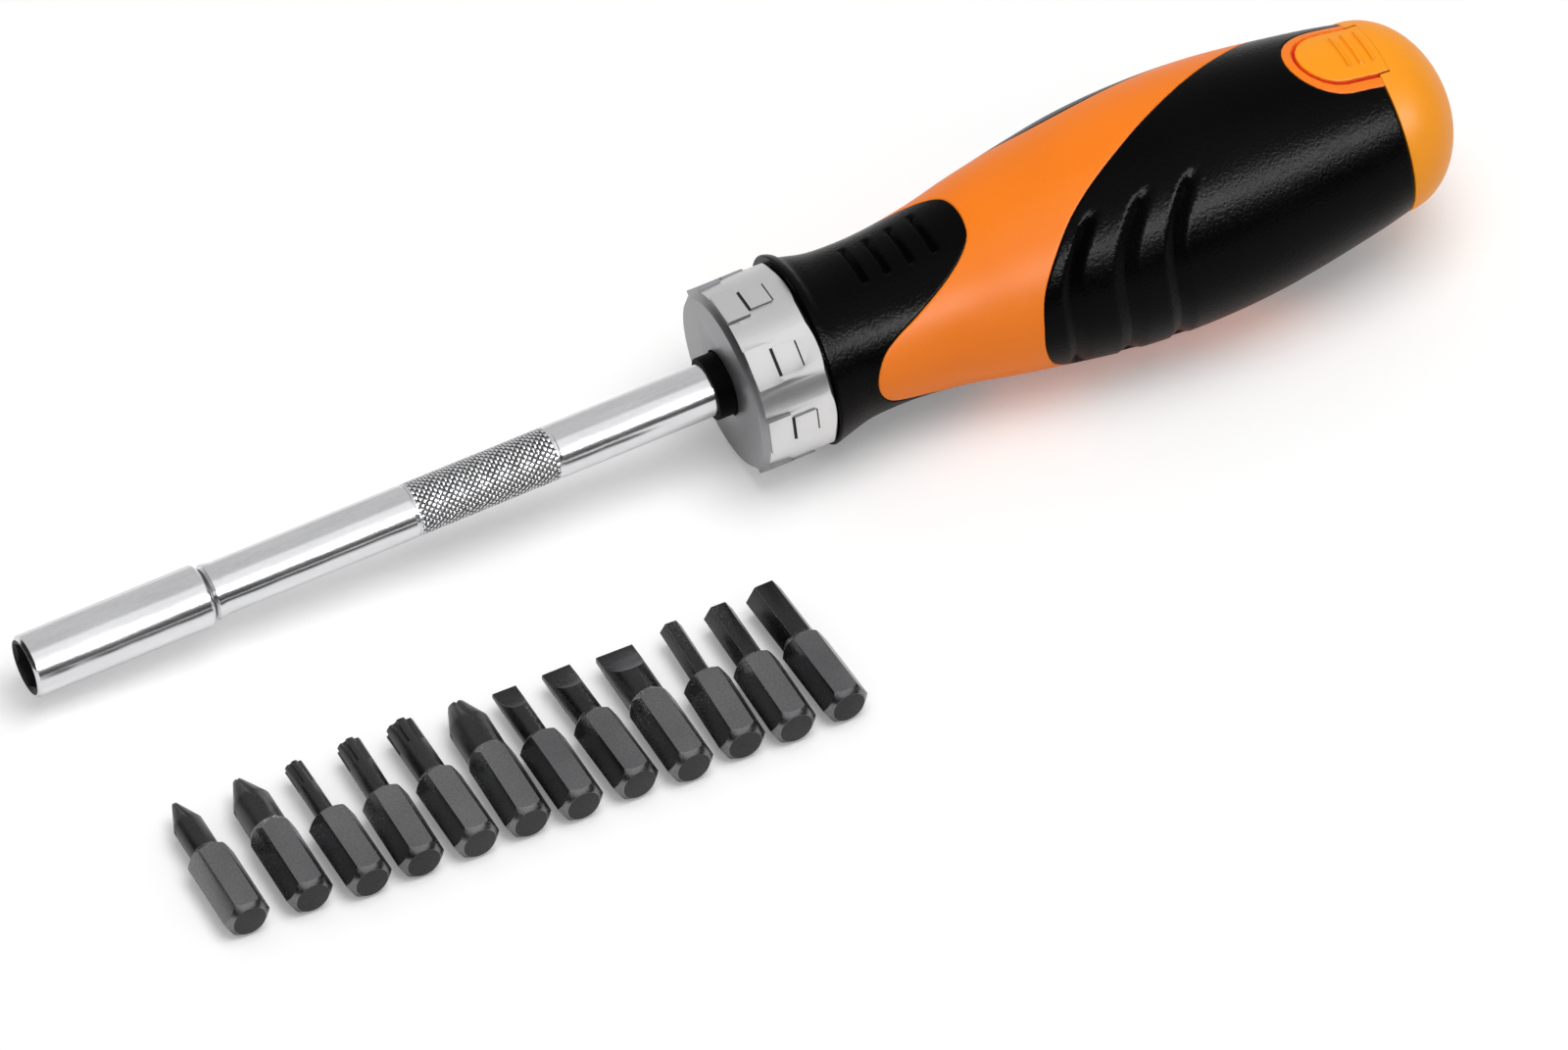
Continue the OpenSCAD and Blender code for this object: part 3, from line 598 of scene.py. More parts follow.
def material(
    name, light, dark, rough, metallic=0.0, grain=2500.0, bump=0.1, bump_mm=0.05, cloud=60.0,
    rough_span=0.08, specular=0.5, stretch=None,
):
    """A surface whose colour, roughness and relief vary in two sizes of noise."""
    mat = bpy.data.materials.new(name)
    mat.use_nodes = True
    tree = mat.node_tree
    source = add_node(tree, "TexCoord", {}).outputs["Object"]
    if stretch:
        inputs = {"Vector": source, "Rotation": (0, math.radians(-LIE_TILT), 0), "Scale": stretch}
        source = add_node(tree, "Mapping", inputs).outputs["Vector"]

    def noise(scale, detail, roughness):
        inputs = {"Vector": source, "Scale": scale, "Detail": detail, "Roughness": roughness}
        return add_node(tree, "TexNoise", inputs).outputs["Fac"]

    large, fine = noise(cloud, 3, 0.55), noise(grain, 2, 0.6)
    both = maths(tree, "MULTIPLY_ADD", fine, FINE_SHARE, maths(tree, "MULTIPLY", large, LARGE_SHARE))
    relief = add_node(tree, "Bump", {"Strength": bump, "Distance": bump_mm * MM, "Height": fine})
    spread = map_range(tree, both, NOISE_LOW, NOISE_HIGH, rough - rough_span, rough + rough_span)
    look = {
        "Base Color": colour_ramp(tree, both, ((NOISE_LOW, (*dark, 1)), (NOISE_HIGH, (*light, 1)))),
        "Metallic": metallic,
        "Specular IOR Level": specular,
        "Roughness": spread,
        "Normal": relief.outputs["Normal"],
    }
    for socket, value in look.items():
        feed(tree, tree.nodes["Principled BSDF"].inputs[socket], value)
    return mat


def moulded(name, code):
    """A plain moulded plastic of one colour."""
    light = srgb(code)
    dark = [c * DARKER for c in light]
    return material(name, light, dark, 0.42, bump=0.06, cloud=90, specular=0.2)


body_orange = moulded("body_orange", "#F98015")
# Painted light: the cap's orange is drawn lighter and yellower than the body's, for the light falling on it.
cap_orange = moulded("cap_orange", "#FD9D14")
# Painted glow: a red orange that stands in for light coming through the orange plastic into the shaded gap
# round the latch.
orange_painted_glow = material(
    "orange_painted_glow_in_the_gap", (0.78, 0.045, 0.012), (0.68, 0.035, 0.01), 0.5, bump=0.06, specular=0.1,
)
rubber = material(
    "rubber_black", (0.0018, 0.0018, 0.002), (0.0008, 0.0008, 0.0008), 0.24, grain=2200, bump=0.7,
    bump_mm=0.09, rough_span=0.06, specular=0.045,
)
black = material(
    "black_plastic", (0.003, 0.003, 0.003), (0.001, 0.001, 0.001), 0.5, grain=2600, bump=0.2,
    specular=0.04,
)
chrome = material(
    "chrome", (0.84, 0.84, 0.85), (0.7, 0.7, 0.72), 0.17, metallic=1, grain=900, bump=0.02,
    bump_mm=0.02, rough_span=0.04, stretch=(1, 9, 9),
)
# Painted shade: a dark metal for the bottoms of grooves, where shade falls.
groove_painted_shade = material(
    "groove_painted_shade", (0.14, 0.14, 0.14), (0.07, 0.07, 0.07), 0.4, metallic=1, grain=3000, bump=0.1,
)
# Painted shade: a nearly black metal for the inside of the holder's socket, where the bore is in shade.
socket_painted_shade = material(
    "socket_painted_shade", (0.03, 0.03, 0.03), (0.012, 0.012, 0.012), 0.5, metallic=0.8, grain=2600, bump=0.2,
)
satin = material(
    "satin_metal", (0.82, 0.82, 0.82), (0.73, 0.73, 0.74), 0.36, metallic=1, grain=4200, bump=0.1,
    bump_mm=0.03, rough_span=0.06,
)
# Painted shade: a darker satin metal for the collar's front face and the walls of its marks.
satin_painted_shade = material(
    "satin_metal_painted_shade", (0.4, 0.4, 0.41), (0.33, 0.33, 0.34), 0.42, metallic=1, grain=4200, bump=0.1,
    bump_mm=0.03, rough_span=0.06,
)
# Painted shade: a near black metal for thin lines beside the collar's marks, where the gaps are in shade.
satin_shade_line = material(
    "satin_metal_painted_shade_line", (0.07, 0.07, 0.07), (0.03, 0.03, 0.03), 0.6, metallic=0.6, grain=4200,
)
steel = material(
    "steel", (0.48, 0.49, 0.5), (0.36, 0.37, 0.39), 0.34, metallic=1, grain=2600, bump=0.08,
)
bronze = material(
    "bronze", (0.5, 0.33, 0.16), (0.38, 0.24, 0.11), 0.4, metallic=1, grain=2600, bump=0.1,
)
bit_dark = material(
    "bit_phosphate", (0.26, 0.26, 0.265), (0.13, 0.13, 0.135), 0.27, metallic=1, grain=3000,
    bump=0.2, bump_mm=0.04,
)
bit_edge = material(
    "bit_worn_edge", (0.26, 0.26, 0.27), (0.12, 0.12, 0.13), 0.42, metallic=1, grain=3600, bump=0.2,
)
# A darker steel for the bits' tips, which also serves as painted shade on the end faces turned to -y.
bit_tip_and_painted_end_shade = material(
    "bit_tip_and_painted_end_shade", (0.07, 0.07, 0.072), (0.035, 0.035, 0.037), 0.3, metallic=1, grain=3000, bump=0.2,
    bump_mm=0.04,
)
MATERIALS = {
    "orange_body": body_orange, "orange_cap": cap_orange, "rubber": rubber,
    "black_plastic": black, "chrome_shaft": chrome, "satin_collar": satin, "steel": steel,
    "bronze": bronze, "spring_steel": steel, "magnet": chrome, "bit_steel": bit_dark,
}
SLOT_OF = {row["node"]: row["material_slot"] for row in frame["record"]["subparts"]}
BODY_OF = {
    node: body
    for body, nodes in frame["record"]["behaviour"]["bodies"].items()
    for node in nodes
}


# Pieces that stand for CAD nodes

def stand_for(obj, node):
    """The piece rides on the node's body, and hides the node."""
    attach(obj, BODY_OF[node])
    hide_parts(node)


def finish_piece(obj, node, mat=None, second=None):
    """Gives a new piece its materials, by default the slot's own, and its node."""
    obj.data.materials.clear()
    obj.data.materials.append(mat or MATERIALS[SLOT_OF[node]])
    if second:
        obj.data.materials.append(second)
    stand_for(obj, node)


def dressed_copy(node, bevel, second=None, segments=2, angle=30, worn=False):
    """The node's own shape with bevelled edges; worn puts the second material on the bevels."""
    mesh = frame["nodes"][node].data.copy()
    mesh.materials.clear()
    bm = bmesh.new()
    bm.from_mesh(mesh)
    bmesh.ops.remove_doubles(bm, verts=bm.verts, dist=2e-6)
    bmesh.ops.dissolve_limit(
        bm, angle_limit=math.radians(0.6), verts=bm.verts, edges=bm.edges, delimit=set()
    )
    for face in bm.faces:
        face.smooth = True
        face.material_index = 0
    bm.to_mesh(mesh)
    bm.free()
    obj = bpy.data.objects.new(node + "_shape", mesh)
    bpy.context.scene.collection.objects.link(obj)
    mesh.materials.append(MATERIALS[SLOT_OF[node]])
    if second:
        mesh.materials.append(second)
    mod = obj.modifiers.new("edges", "BEVEL")
    mod.width = bevel * MM
    mod.segments = segments
    mod.limit_method = "ANGLE"
    mod.angle_limit = math.radians(angle)
    mod.use_clamp_overlap = True
    mod.miter_outer = "MITER_ARC"
    if worn:
        mod.material = 1
    apply_modifiers(obj)
    obj.data.set_sharp_from_angle(angle=math.radians(angle))
    stand_for(obj, node)
    return obj


def ramp01(x):
    """A smooth step from 0 to 1."""
    x = np.clip(x, 0, 1)
    return x * x * (3 - 2 * x)


# Neck grip

LIP_LEN, LIP_HIGH = 2.0, 0.6
LIP_TURN, LIP_FROM, LIP_SPAN = 25, 0.3, 0.6
FACE_R, FACE_IN, FACE_OUT, FACE_EDGE = 11.5, 0.35, 0.06, 0.3
FINGER_COUNT = 4
FINGER_FIRST, FINGER_PITCH, FINGER_HALF, FINGER_W, FINGER_DEEP = 10.4, 3.7, 19.0, 1.5, 0.55
FINGER_END, FINGER_FADE, FINGER_OVER = 2, 5, 3
ROW_SHARES = (-1, -0.5, 0, 0.5, 1)


def finger_grooves(pz, near):
    """A lip at the collar, highest on top, and round grooves across each tongue of the grip."""
    across = np.abs((pz[:, 0] + 90) % 180 - 90)
    top = ramp01((np.cos(np.radians(pz[:, 0] + LIP_TURN)) - LIP_FROM) / LIP_SPAN)
    lift = LIP_HIGH * top * ramp01((HANDLE_Z + LIP_LEN - pz[:, 1]) / (0.4 * LIP_LEN))
    for i in range(FINGER_COUNT):
        along = (pz[:, 1] - HANDLE_Z - FINGER_FIRST - FINGER_PITCH * i) / (FINGER_W / 2)
        bowl = np.cos(np.clip(along, -1, 1) * math.pi / 2) ** 2
        lift -= FINGER_DEEP * bowl * ramp01((FINGER_HALF + FINGER_END - across) / FINGER_FADE)
    return lift


def finger_rows(steps=60):
    """Curves along the grooves across the neck grip's tongues."""
    angle = np.linspace(-FINGER_HALF - FINGER_OVER, FINGER_HALF + FINGER_OVER, steps)
    curves = []
    for i in range(FINGER_COUNT):
        for share in ROW_SHARES:
            z = HANDLE_Z + FINGER_FIRST + FINGER_PITCH * i + share * FINGER_W / 2
            curves += [np.stack([angle + tongue, np.full(steps, z)], 1) for tongue in (0, 180)]
    return curves


neck = patch(
    "neck_grip_skin", [ring_at(HANDLE_Z + END_EASE), NECK_WAVE - [0, EDGE_EASE]], [0.4, 0.3],
    GRIP_SKIN_T, cell=0.5, edge=0.35, height=finger_grooves, along=finger_rows(),
)
finish_piece(neck, "neck_grip")
lip_r = float(skin_r(HANDLE_Z)) - FACE_IN
lip = lathe("neck_grip_front", rounded([
    (FACE_R, HANDLE_Z - FACE_OUT, 0), (lip_r, HANDLE_Z - FACE_OUT, 0.1),
    (lip_r, HANDLE_Z + FACE_EDGE, 0), (FACE_R, HANDLE_Z + END_EASE, 0),
]))
finish_piece(lip, "neck_grip")

# Rear grip

GROOVES = ((3.7, 1.6), (11.9, 2.0), (19.6, 1.8))
GROOVE_DEEP = 0.85
GROOVE_TOP, GROOVE_TOP_FADE = 33, 9
GROOVE_ENDS, GROOVE_END_FADE = (158, 128), 10
GROOVE_BACK, GROOVE_BACK_FADE = 76, 8
GROOVE_RIM, GROOVE_RIM_FADE = 0.5, 1.5
ROWS_FROM, ROWS_TO = 16, 160
DRIFT_REACH, DRIFT_FROM, DRIFT_SPAN = 2.0, 51, 82
FRONT_EDGE_SHARE = 0.62
front_edge = LOBE_WAVE[: int(FRONT_EDGE_SHARE * len(LOBE_WAVE) / 2)][::-1]


def groove_z(turn, at):
    """Where a groove runs that starts at a distance behind the lobe's front edge."""
    return (
        np.interp(turn, front_edge[:, 0], front_edge[:, 1]) + at
        + DRIFT_REACH * np.clip((turn - DRIFT_FROM) / DRIFT_SPAN, 0, 1)
    )


def lobe_grooves(pz, near):
    """Three V grooves across each lobe, running alongside its front edge."""
    turn = (pz[:, 0] - 1) % 180 + 1
    end = np.where(pz[:, 0] % 360 < 180, *GROOVE_ENDS)
    window = ramp01((turn - GROOVE_TOP) / GROOVE_TOP_FADE) * ramp01((end - turn) / GROOVE_END_FADE)
    window *= ramp01((HANDLE_Z + GROOVE_BACK - pz[:, 1]) / GROOVE_BACK_FADE)
    lift = np.zeros(len(pz))
    for at, half in GROOVES:
        side = np.abs(pz[:, 1] - groove_z(turn, at)) / half
        lift -= GROOVE_DEEP * np.clip(1 - side, 0, 1) * window
    return lift * ramp01((near[0] - GROOVE_RIM) / GROOVE_RIM_FADE)


def groove_rows(steps=300):
    """Curves along the bottoms, flanks and edges of the lobes' grooves."""
    turn = np.linspace(ROWS_FROM, ROWS_TO, steps)
    curves = []
    for at, half in GROOVES:
        for share in ROW_SHARES:
            z = groove_z(turn, at) + share * half
            curves += [np.stack([turn + lobe, z], 1) for lobe in (0, 180)]
    return curves


grip_end = CAP_Z - END_EASE
window_line = tongue_line(WINDOW_FRONT - EDGE_EASE, grip_end, WINDOW_W + 2 * EDGE_EASE)
around = np.linspace(window_line[0, 0], window_line[-1, 0] + 360, 400)[1:-1]
rear_loop = np.vstack([window_line[::-1], np.stack([around, np.full(len(around), grip_end)], 1)])
rear = patch(
    "rear_grip_skin", [LOBE_WAVE + [0, EDGE_EASE], rear_loop], [0.3, 0.3], GRIP_SKIN_T,
    cell=0.5, edge=0.35, height=lobe_grooves, along=groove_rows(),
)
finish_piece(rear, "rear_grip")

# Orange core with the latch's window

RIM_EASE = 0.04
SILL_DEEP, SILL_T, SILL_GAP, SILL_UNDER = 0.5, 0.12, 0.33, 0.1
SKIRT_REACH, SKIRT_ROOT = 0.25, 0.12
MOUTH_EDGE = 0.3
SHANK_PLAY, SHANK_END_PLAY = 0.06, 0.05


def sunk(pz, near):
    """The same depth below the skin everywhere."""
    return -SILL_DEEP


def thin_strip(name, outer, inner):
    """A thin strip sunk into the gap round the latch, from one tongue's outline to another's."""
    loop = strip_between(tongue_line(outer[0], CAP_Z, outer[1]), tongue_line(inner[0], CAP_Z, inner[1]))
    return patch(name, [loop], [0.02], SILL_DEEP + SILL_T, cell=0.3, edge=0.25, height=sunk)


band = patch("handle_band", [NECK_WAVE, LOBE_WAVE], [0.25, 0.25], BAND_T, cell=0.9, edge=0.35)
finish_piece(band, "handle_core")

rim_end = CAP_BASE - RIM_EASE
past_end = CAP_Z + PAST_END
rim_loop = strip_between(
    tongue_line(WINDOW_FRONT, rim_end, WINDOW_W), tongue_line(CHANNEL_FRONT, rim_end, CHANNEL_W),
)
rim = patch(
    "latch_window", [rim_loop], [0.2, 0.2], RIM_T, cell=0.5, edge=0.25,
    soften=[
        tongue_line(WINDOW_FRONT, past_end, WINDOW_W), tongue_line(CHANNEL_FRONT, past_end, CHANNEL_W),
    ],
)
finish_piece(rim, "handle_core")
# Painted glow: a sill sunk in the gap round the latch carries the red orange.
sill = thin_strip(
    "latch_window_sill",
    (CHANNEL_FRONT - SILL_UNDER, CHANNEL_W + 2 * SILL_UNDER),
    (LATCH_FRONT - SILL_GAP, LATCH_W + 2 * SILL_GAP),
)
finish_piece(sill, "handle_core", orange_painted_glow)
# Painted glow: a skirt sunk round the tongue carries the same red orange.
skirt = thin_strip(
    "latch_tongue_skirt",
    (LATCH_FRONT - SKIRT_REACH, LATCH_W + 2 * SKIRT_REACH),
    (LATCH_FRONT + SKIRT_ROOT, LATCH_W - 2 * SKIRT_ROOT),
)
finish_piece(skirt, "latch_tongue", orange_painted_glow)

profile = [(float(skin_r(z)) - GRIP_T + 0.01, float(z)) for z in np.linspace(HANDLE_Z, CAP_Z, 90)]
profile += [
    (CHAMBER_R + MOUTH_EDGE, CAP_Z), (CHAMBER_R, CAP_Z - MOUTH_EDGE), (CHAMBER_R, CHAMBER_Z),
    (0, CHAMBER_Z), (0, HANDLE_Z),
]
core = lathe("handle_inner", profile)
channel = tongue_outline(CHANNEL_FRONT, CAP_Z + OVERRUN, CHANNEL_W)
cut_with(core, prism(channel, 0, BELLY_R + OVERRUN))
hex_r = SHANK_AF / math.sqrt(3) + SHANK_PLAY
hexagon = [(hex_r * math.cos(math.radians(a)), hex_r * math.sin(math.radians(a))) for a in range(0, 360, 60)]
shank_end = HANDLE_Z + SHANK_LEN + SHANK_END_PLAY
cut_with(core, prism(hexagon, HANDLE_Z - OVERRUN, shank_end, axis="z"))
finish_piece(core, "handle_core")

# End cap

CAP_EDGE = ((-0.12, 0), (-0.03, 0.03), (0, 0.12))
CAP_EDGE_END = 0.3
PLUG_R, PLUG_LEN, PLUG_BREAK = 12.1, 3.2, 0.3
NOTCH_SIDE, NOTCH_END, NOTCH_START, NOTCH_R = 0.3, 0.04, 4.2, 11.8

dome = [(float(r), float(z)) for r, z in zip(SKIN_R[-DOME_STEPS:], SKIN_Z[-DOME_STEPS:])]
cap_profile = [(dome[0][0] + r, CAP_BASE + z) for r, z in CAP_EDGE]
cap_profile += [point for point in dome if point[1] > CAP_BASE + CAP_EDGE_END][:-1]
cap_profile += [
    (0, TOOL_LEN), (0, CAP_Z - PLUG_LEN), (PLUG_R - PLUG_BREAK, CAP_Z - PLUG_LEN),
    (PLUG_R, CAP_Z - PLUG_LEN + PLUG_BREAK), (PLUG_R, CAP_BASE),
]
cap = lathe("end_cap_dome", cap_profile)
notch_y = LATCH_W / 2 + NOTCH_SIDE
notch = [
    (-notch_y, CAP_Z - NOTCH_START), (notch_y, CAP_Z - NOTCH_START),
    (notch_y, LATCH_ROOT + NOTCH_END), (-notch_y, LATCH_ROOT + NOTCH_END),
]
cut_with(cap, prism(notch, NOTCH_R, BELLY_R + OVERRUN))
cap.data.set_sharp_from_angle(angle=math.radians(30))
finish_piece(cap, "end_cap")

# Latch tongue

RIB_COUNT, RIB_FIRST, RIB_PITCH, RIB_HALF, RIB_HIGH, RIB_SLOPE = 3, 6.6, 1.9, 0.42, 0.45, 0.16
RIB_REACH, RIB_END_SLOPE = 3.5, 0.3
UNDERCUT, UNDERCUT_LEN, UNDERSIDE = 0.2, 2, 0.05


def latch_ribs(pz, near):
    """Three ribs across the tongue."""
    y = skin_r(pz[:, 1]) * np.sin(np.radians(pz[:, 0]))
    lift = np.zeros(len(pz))
    for i in range(RIB_COUNT):
        along = np.abs(pz[:, 1] - (LATCH_FRONT + RIB_FIRST + RIB_PITCH * i))
        ends = ramp01((RIB_REACH - np.abs(y)) / RIB_END_SLOPE)
        lift += RIB_HIGH * ramp01((RIB_HALF - along) / RIB_SLOPE) * ends
    return lift


latch_line = tongue_line(LATCH_FRONT, LATCH_ROOT, LATCH_W)
closing = np.linspace(latch_line[-1], latch_line[0], 40)[1:-1]
latch = patch(
    "latch_tongue_skin", [np.vstack([latch_line, closing])], [0.25], LATCH_T, cell=0.3, edge=0.25,
    height=latch_ribs, soften=[tongue_line(LATCH_FRONT, LATCH_ROOT + PAST_END, LATCH_W)],
)
for vertex in latch.data.vertices:
    point = in_tool(vertex.co)
    if skin_r(point.z) - math.hypot(point.x, point.y) > LATCH_T - UNDERSIDE:
        point.z -= UNDERCUT * min(max(1 - (LATCH_ROOT - point.z) / UNDERCUT_LEN, 0), 1)
        vertex.co = (TOOL @ point) * MM
finish_piece(latch, "latch_tongue")

# Shaft

KNURL_Z, KNURL_LEN, KNURL_DEEP, KNURL_PITCH, KNURL_FADE = 61.5, 22.5, 0.25, 1.05, 0.5
KNURL_END = KNURL_Z + KNURL_LEN
KNURL_ROWS, KNURL_COLS, KNURL_DARK_SHARE = 230, 260, 0.4
SPIGOT_Z, SPIGOT_R = 18, 3.2
COLLET_R, WAIST_R, FLANGE_R = 3.7, 3.75, 4.3
COLLET_IN, COLLET_OUT, WAIST_OUT, FLANGE_OUT, FLANGE_END = 0.3, 0.02, 0.5, 0.85, 2.5
WAIST_ROUND, FLANGE_ROUND, STEP_ROUND = 0.2, 2, 0.15
STEP_R = SHAFT_R - 0.14
STEP_FROM, STEP_TO, STEP_LAP = 0.5, 0.2, 0.1
SHAFT_END, SHAFT_END_R, SHAFT_BREAK = 142.6, 3.5, 0.5
SHAFT_STEPS = 96


def ridge(x):
    """One at each groove's middle, falling to zero at a quarter of the pitch."""
    return np.clip(1 - 4 * np.abs(x % 1 - 0.5), 0, 1)


def knurled_band():
    """A band of crossed grooves round the shaft, with painted shade, a dark metal, on the groove bottoms."""
    turn = 2 * math.pi * np.arange(KNURL_COLS) / KNURL_COLS
    turn, along = np.meshgrid(turn, np.linspace(0, KNURL_LEN, KNURL_ROWS + 1))
    pitch = 2 * math.pi * SHAFT_R / round(2 * math.pi * SHAFT_R / KNURL_PITCH)
    fade = np.clip(np.minimum(along, KNURL_LEN - along) / KNURL_FADE, 0, 1)
    cut = np.maximum(ridge((turn * SHAFT_R + along) / pitch), ridge((turn * SHAFT_R - along) / pitch))
    r = SHAFT_R - KNURL_DEEP * fade * cut
    points = np.stack([r * np.cos(turn), r * np.sin(turn), along + KNURL_Z], -1).reshape(-1, 3)
    faces = []
    for j in range(KNURL_ROWS):
        for k in range(KNURL_COLS):
            a, b = j * KNURL_COLS + k, j * KNURL_COLS + (k + 1) % KNURL_COLS
            faces.append((a, b, b + KNURL_COLS, a + KNURL_COLS))
    last = KNURL_ROWS * KNURL_COLS
    faces += [list(range(KNURL_COLS))[::-1], list(range(last, last + KNURL_COLS))]
    knurl = mesh_piece("shaft_knurl", points, faces, angle=60)
    # Painted shade: the faces deep in the grooves take the dark metal.
    deep = np.append((cut * fade > KNURL_DARK_SHARE).reshape(-1)[:last], [False, False])
    finish_piece(knurl, "shaft", None, groove_painted_shade)
    knurl.data.polygons.foreach_set("material_index", deep.astype(np.int32))


knurled_band()
front = lathe("shaft_front", rounded([
    (0, SPIGOT_Z, 0), (SPIGOT_R, SPIGOT_Z, 0), (SPIGOT_R, HOLDER_LEN - COLLET_IN, 0),
    (COLLET_R, HOLDER_LEN + COLLET_OUT, 0), (WAIST_R, HOLDER_LEN + WAIST_OUT, WAIST_ROUND),
    (FLANGE_R, HOLDER_LEN + FLANGE_OUT, WAIST_ROUND), (SHAFT_R, HOLDER_LEN + FLANGE_END, FLANGE_ROUND),
    (SHAFT_R, KNURL_Z - STEP_FROM, STEP_ROUND), (STEP_R, KNURL_Z - STEP_TO, 0),
    (STEP_R, KNURL_Z + STEP_LAP, 0), (0, KNURL_Z + STEP_LAP, 0),
]), steps=SHAFT_STEPS)
finish_piece(front, "shaft", None, groove_painted_shade)
# Painted shade: the narrow groove behind the holder takes the dark metal all round.
for face in front.data.polygons:
    if HOLDER_LEN - COLLET_IN < in_tool(face.center).z < HOLDER_LEN + WAIST_OUT:
        face.material_index = 1
back = lathe("shaft_back", rounded([
    (0, KNURL_END - STEP_LAP, 0), (STEP_R, KNURL_END - STEP_LAP, 0), (STEP_R, KNURL_END + STEP_TO, 0),
    (SHAFT_R, KNURL_END + STEP_FROM, STEP_ROUND), (SHAFT_R, SHAFT_END - SHAFT_BREAK, 0),
    (SHAFT_END_R, SHAFT_END, 0), (0, SHAFT_END, 0),
]), steps=SHAFT_STEPS)
finish_piece(back, "shaft")

# Bit holder

SOCKET_R, SOCKET_END = 4.0, 15

holder = dressed_copy("bit_holder", 0.18, socket_painted_shade, segments=3)
# Painted shade: the faces inside the socket take the nearly black metal.
for face in holder.data.polygons:
    point = in_tool(face.center)
    if math.hypot(point.x, point.y) < SOCKET_R and point.z < SOCKET_END:
        face.material_index = 1

# Selector collar

COLLAR_FLATS, COLLAR_FLAT_R = 8, 13.85
MARK_Z = REACH + 4.5
# LINES holds where the lines of painted shade run, how wide and how thick they are.
LINES = ((MARK_Z + 0.25, 4.3, 0.28), (MARK_Z + 4.1, 3.9, 0.14))
LINE_IN, LINE_OUT = 0.1, 0.04
WALL_IN, WALL_LEAN = 0.5, 0.8
FRONT_LEN, FRONT_LEAN = 1, -0.6
SQUARE = ((-1, -1), (1, -1), (1, 1), (-1, 1))
BOX_FACES = ((3, 2, 1, 0), (4, 5, 6, 7), (0, 1, 5, 4), (1, 2, 6, 5), (2, 3, 7, 6), (3, 0, 4, 7))


def shade_collar(collar):
    """Puts painted shade, a darker metal, on the collar's front face and on the walls of its raised marks.
    """
    turned = np.array(TO_TOOL.to_3x3())
    for face in collar.data.polygons:
        point = in_tool(face.center)
        r = math.hypot(point.x, point.y)
        normal = turned @ np.array(face.normal)
        outward = abs(float((np.array([point.x, point.y]) / r) @ normal[:2]))
        wall = r > COLLAR_FLAT_R - WALL_IN and outward < WALL_LEAN
        if wall or (normal[2] < FRONT_LEAN and point.z < REACH + FRONT_LEN):
            face.material_index = 1


def collar_lines():
    """Two thin lines of painted shade on each flat, beside its marks, drawn as thin dark boxes."""
    points, faces = [], []
    for k in range(COLLAR_FLATS):
        a = 2 * math.pi * k / COLLAR_FLATS
        out, side = np.array([math.cos(a), math.sin(a)]), np.array([-math.sin(a), math.cos(a)])
        for z, width, half in LINES:
            base = len(points)
            for r in (COLLAR_FLAT_R - LINE_IN, COLLAR_FLAT_R + LINE_OUT):
                for dy, dz in SQUARE:
                    xy = out * r + side * dy * width / 2
                    points.append((xy[0], xy[1], z + dz * half))
            faces += [[base + i for i in face] for face in BOX_FACES]
    lines = mesh_piece("selector_collar_painted_shade_lines", points, faces)
    fix_normals(lines)
    finish_piece(lines, "selector_collar", satin_shade_line)
    return lines


shade_collar(dressed_copy("selector_collar", 0.12, satin_painted_shade))
shade_lines_piece = collar_lines()

# Nose bush, rack and ratchet body

dressed_copy("nose_bush", 0.3, segments=3)
dressed_copy("bit_rack", 0.12)
dressed_copy("ratchet_body", 0.15)

# Loose bits

TIP_SHARE = 0.4
NEAR_END_LEAN = -0.9
BITS = [node for node in BODY_OF if node.startswith("bit_") and node not in ("bit_holder", "bit_rack")]

for node in BITS:
    bit = dressed_copy(node, 0.14, bit_edge, angle=25, worn=True)
    bit.data.materials.append(bit_tip_and_painted_end_shade)
    low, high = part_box(node)
    # The tip is drawn darker, and the end faces turned to -y get painted shade.
    for face in bit.data.polygons:
        in_tip = face.center.y > high[1] - TIP_SHARE * (high[1] - low[1])
        if face.material_index == 0 and (in_tip or face.normal.y < NEAR_END_LEAN):
            face.material_index = 2

# Inner pieces, shown as the CAD made them

INNER = (
    "pawl_pins", "pawl_springs", "detent_ball", "detent_spring", "collar_snap_ring", "shaft_bush",
    "thrust_washer", "socket_magnet", "ratchet_gear", "gear_circlip", "forward_pawl",
    "reverse_pawl", "rack_screws",
)
for node in INNER:
    materials = frame["nodes"][node].data.materials
    materials.clear()
    materials.append(MATERIALS[SLOT_OF[node]])

# Floor

FLOOR_X, FLOOR_Y = (-0.28, 0.28), (-0.22, 0.26)
PAPER_GREY, PAPER_GLOW, GLOW_IN_METAL = 0.86, 0.17, 0.2

floor_mesh = bpy.data.meshes.new("floor")
floor_mesh.from_pydata([
    (FLOOR_X[0], FLOOR_Y[0], 0), (FLOOR_X[1], FLOOR_Y[0], 0),
    (FLOOR_X[1], FLOOR_Y[1], 0), (FLOOR_X[0], FLOOR_Y[1], 0),
], [], [(0, 1, 2, 3)])
floor = bpy.data.objects.new("floor", floor_mesh)
bpy.context.scene.collection.objects.link(floor)
paper = bpy.data.materials.new("paper")
paper.use_nodes = True
tree = paper.node_tree
shader = tree.nodes["Principled BSDF"]
shader.inputs["Base Color"].default_value = grey(PAPER_GREY)
shader.inputs["Roughness"].default_value = 0.9
shader.inputs["Specular IOR Level"].default_value = 0.1
rays = add_node(tree, "LightPath", {}).outputs
seen = maths(tree, "MULTIPLY_ADD", rays["Is Glossy Ray"], GLOW_IN_METAL, rays["Is Camera Ray"])
glow = add_node(tree, "Emission", {"Strength": maths(tree, "MULTIPLY", seen, PAPER_GLOW)})
lit = add_node(tree, "AddShader", {0: shader.outputs[0], 1: glow.outputs[0]})
feed(tree, tree.nodes["Material Output"].inputs["Surface"], lit.outputs[0])
floor_mesh.materials.append(paper)

# World: plain light, white to the camera, and by direction a studio's greys in the metal

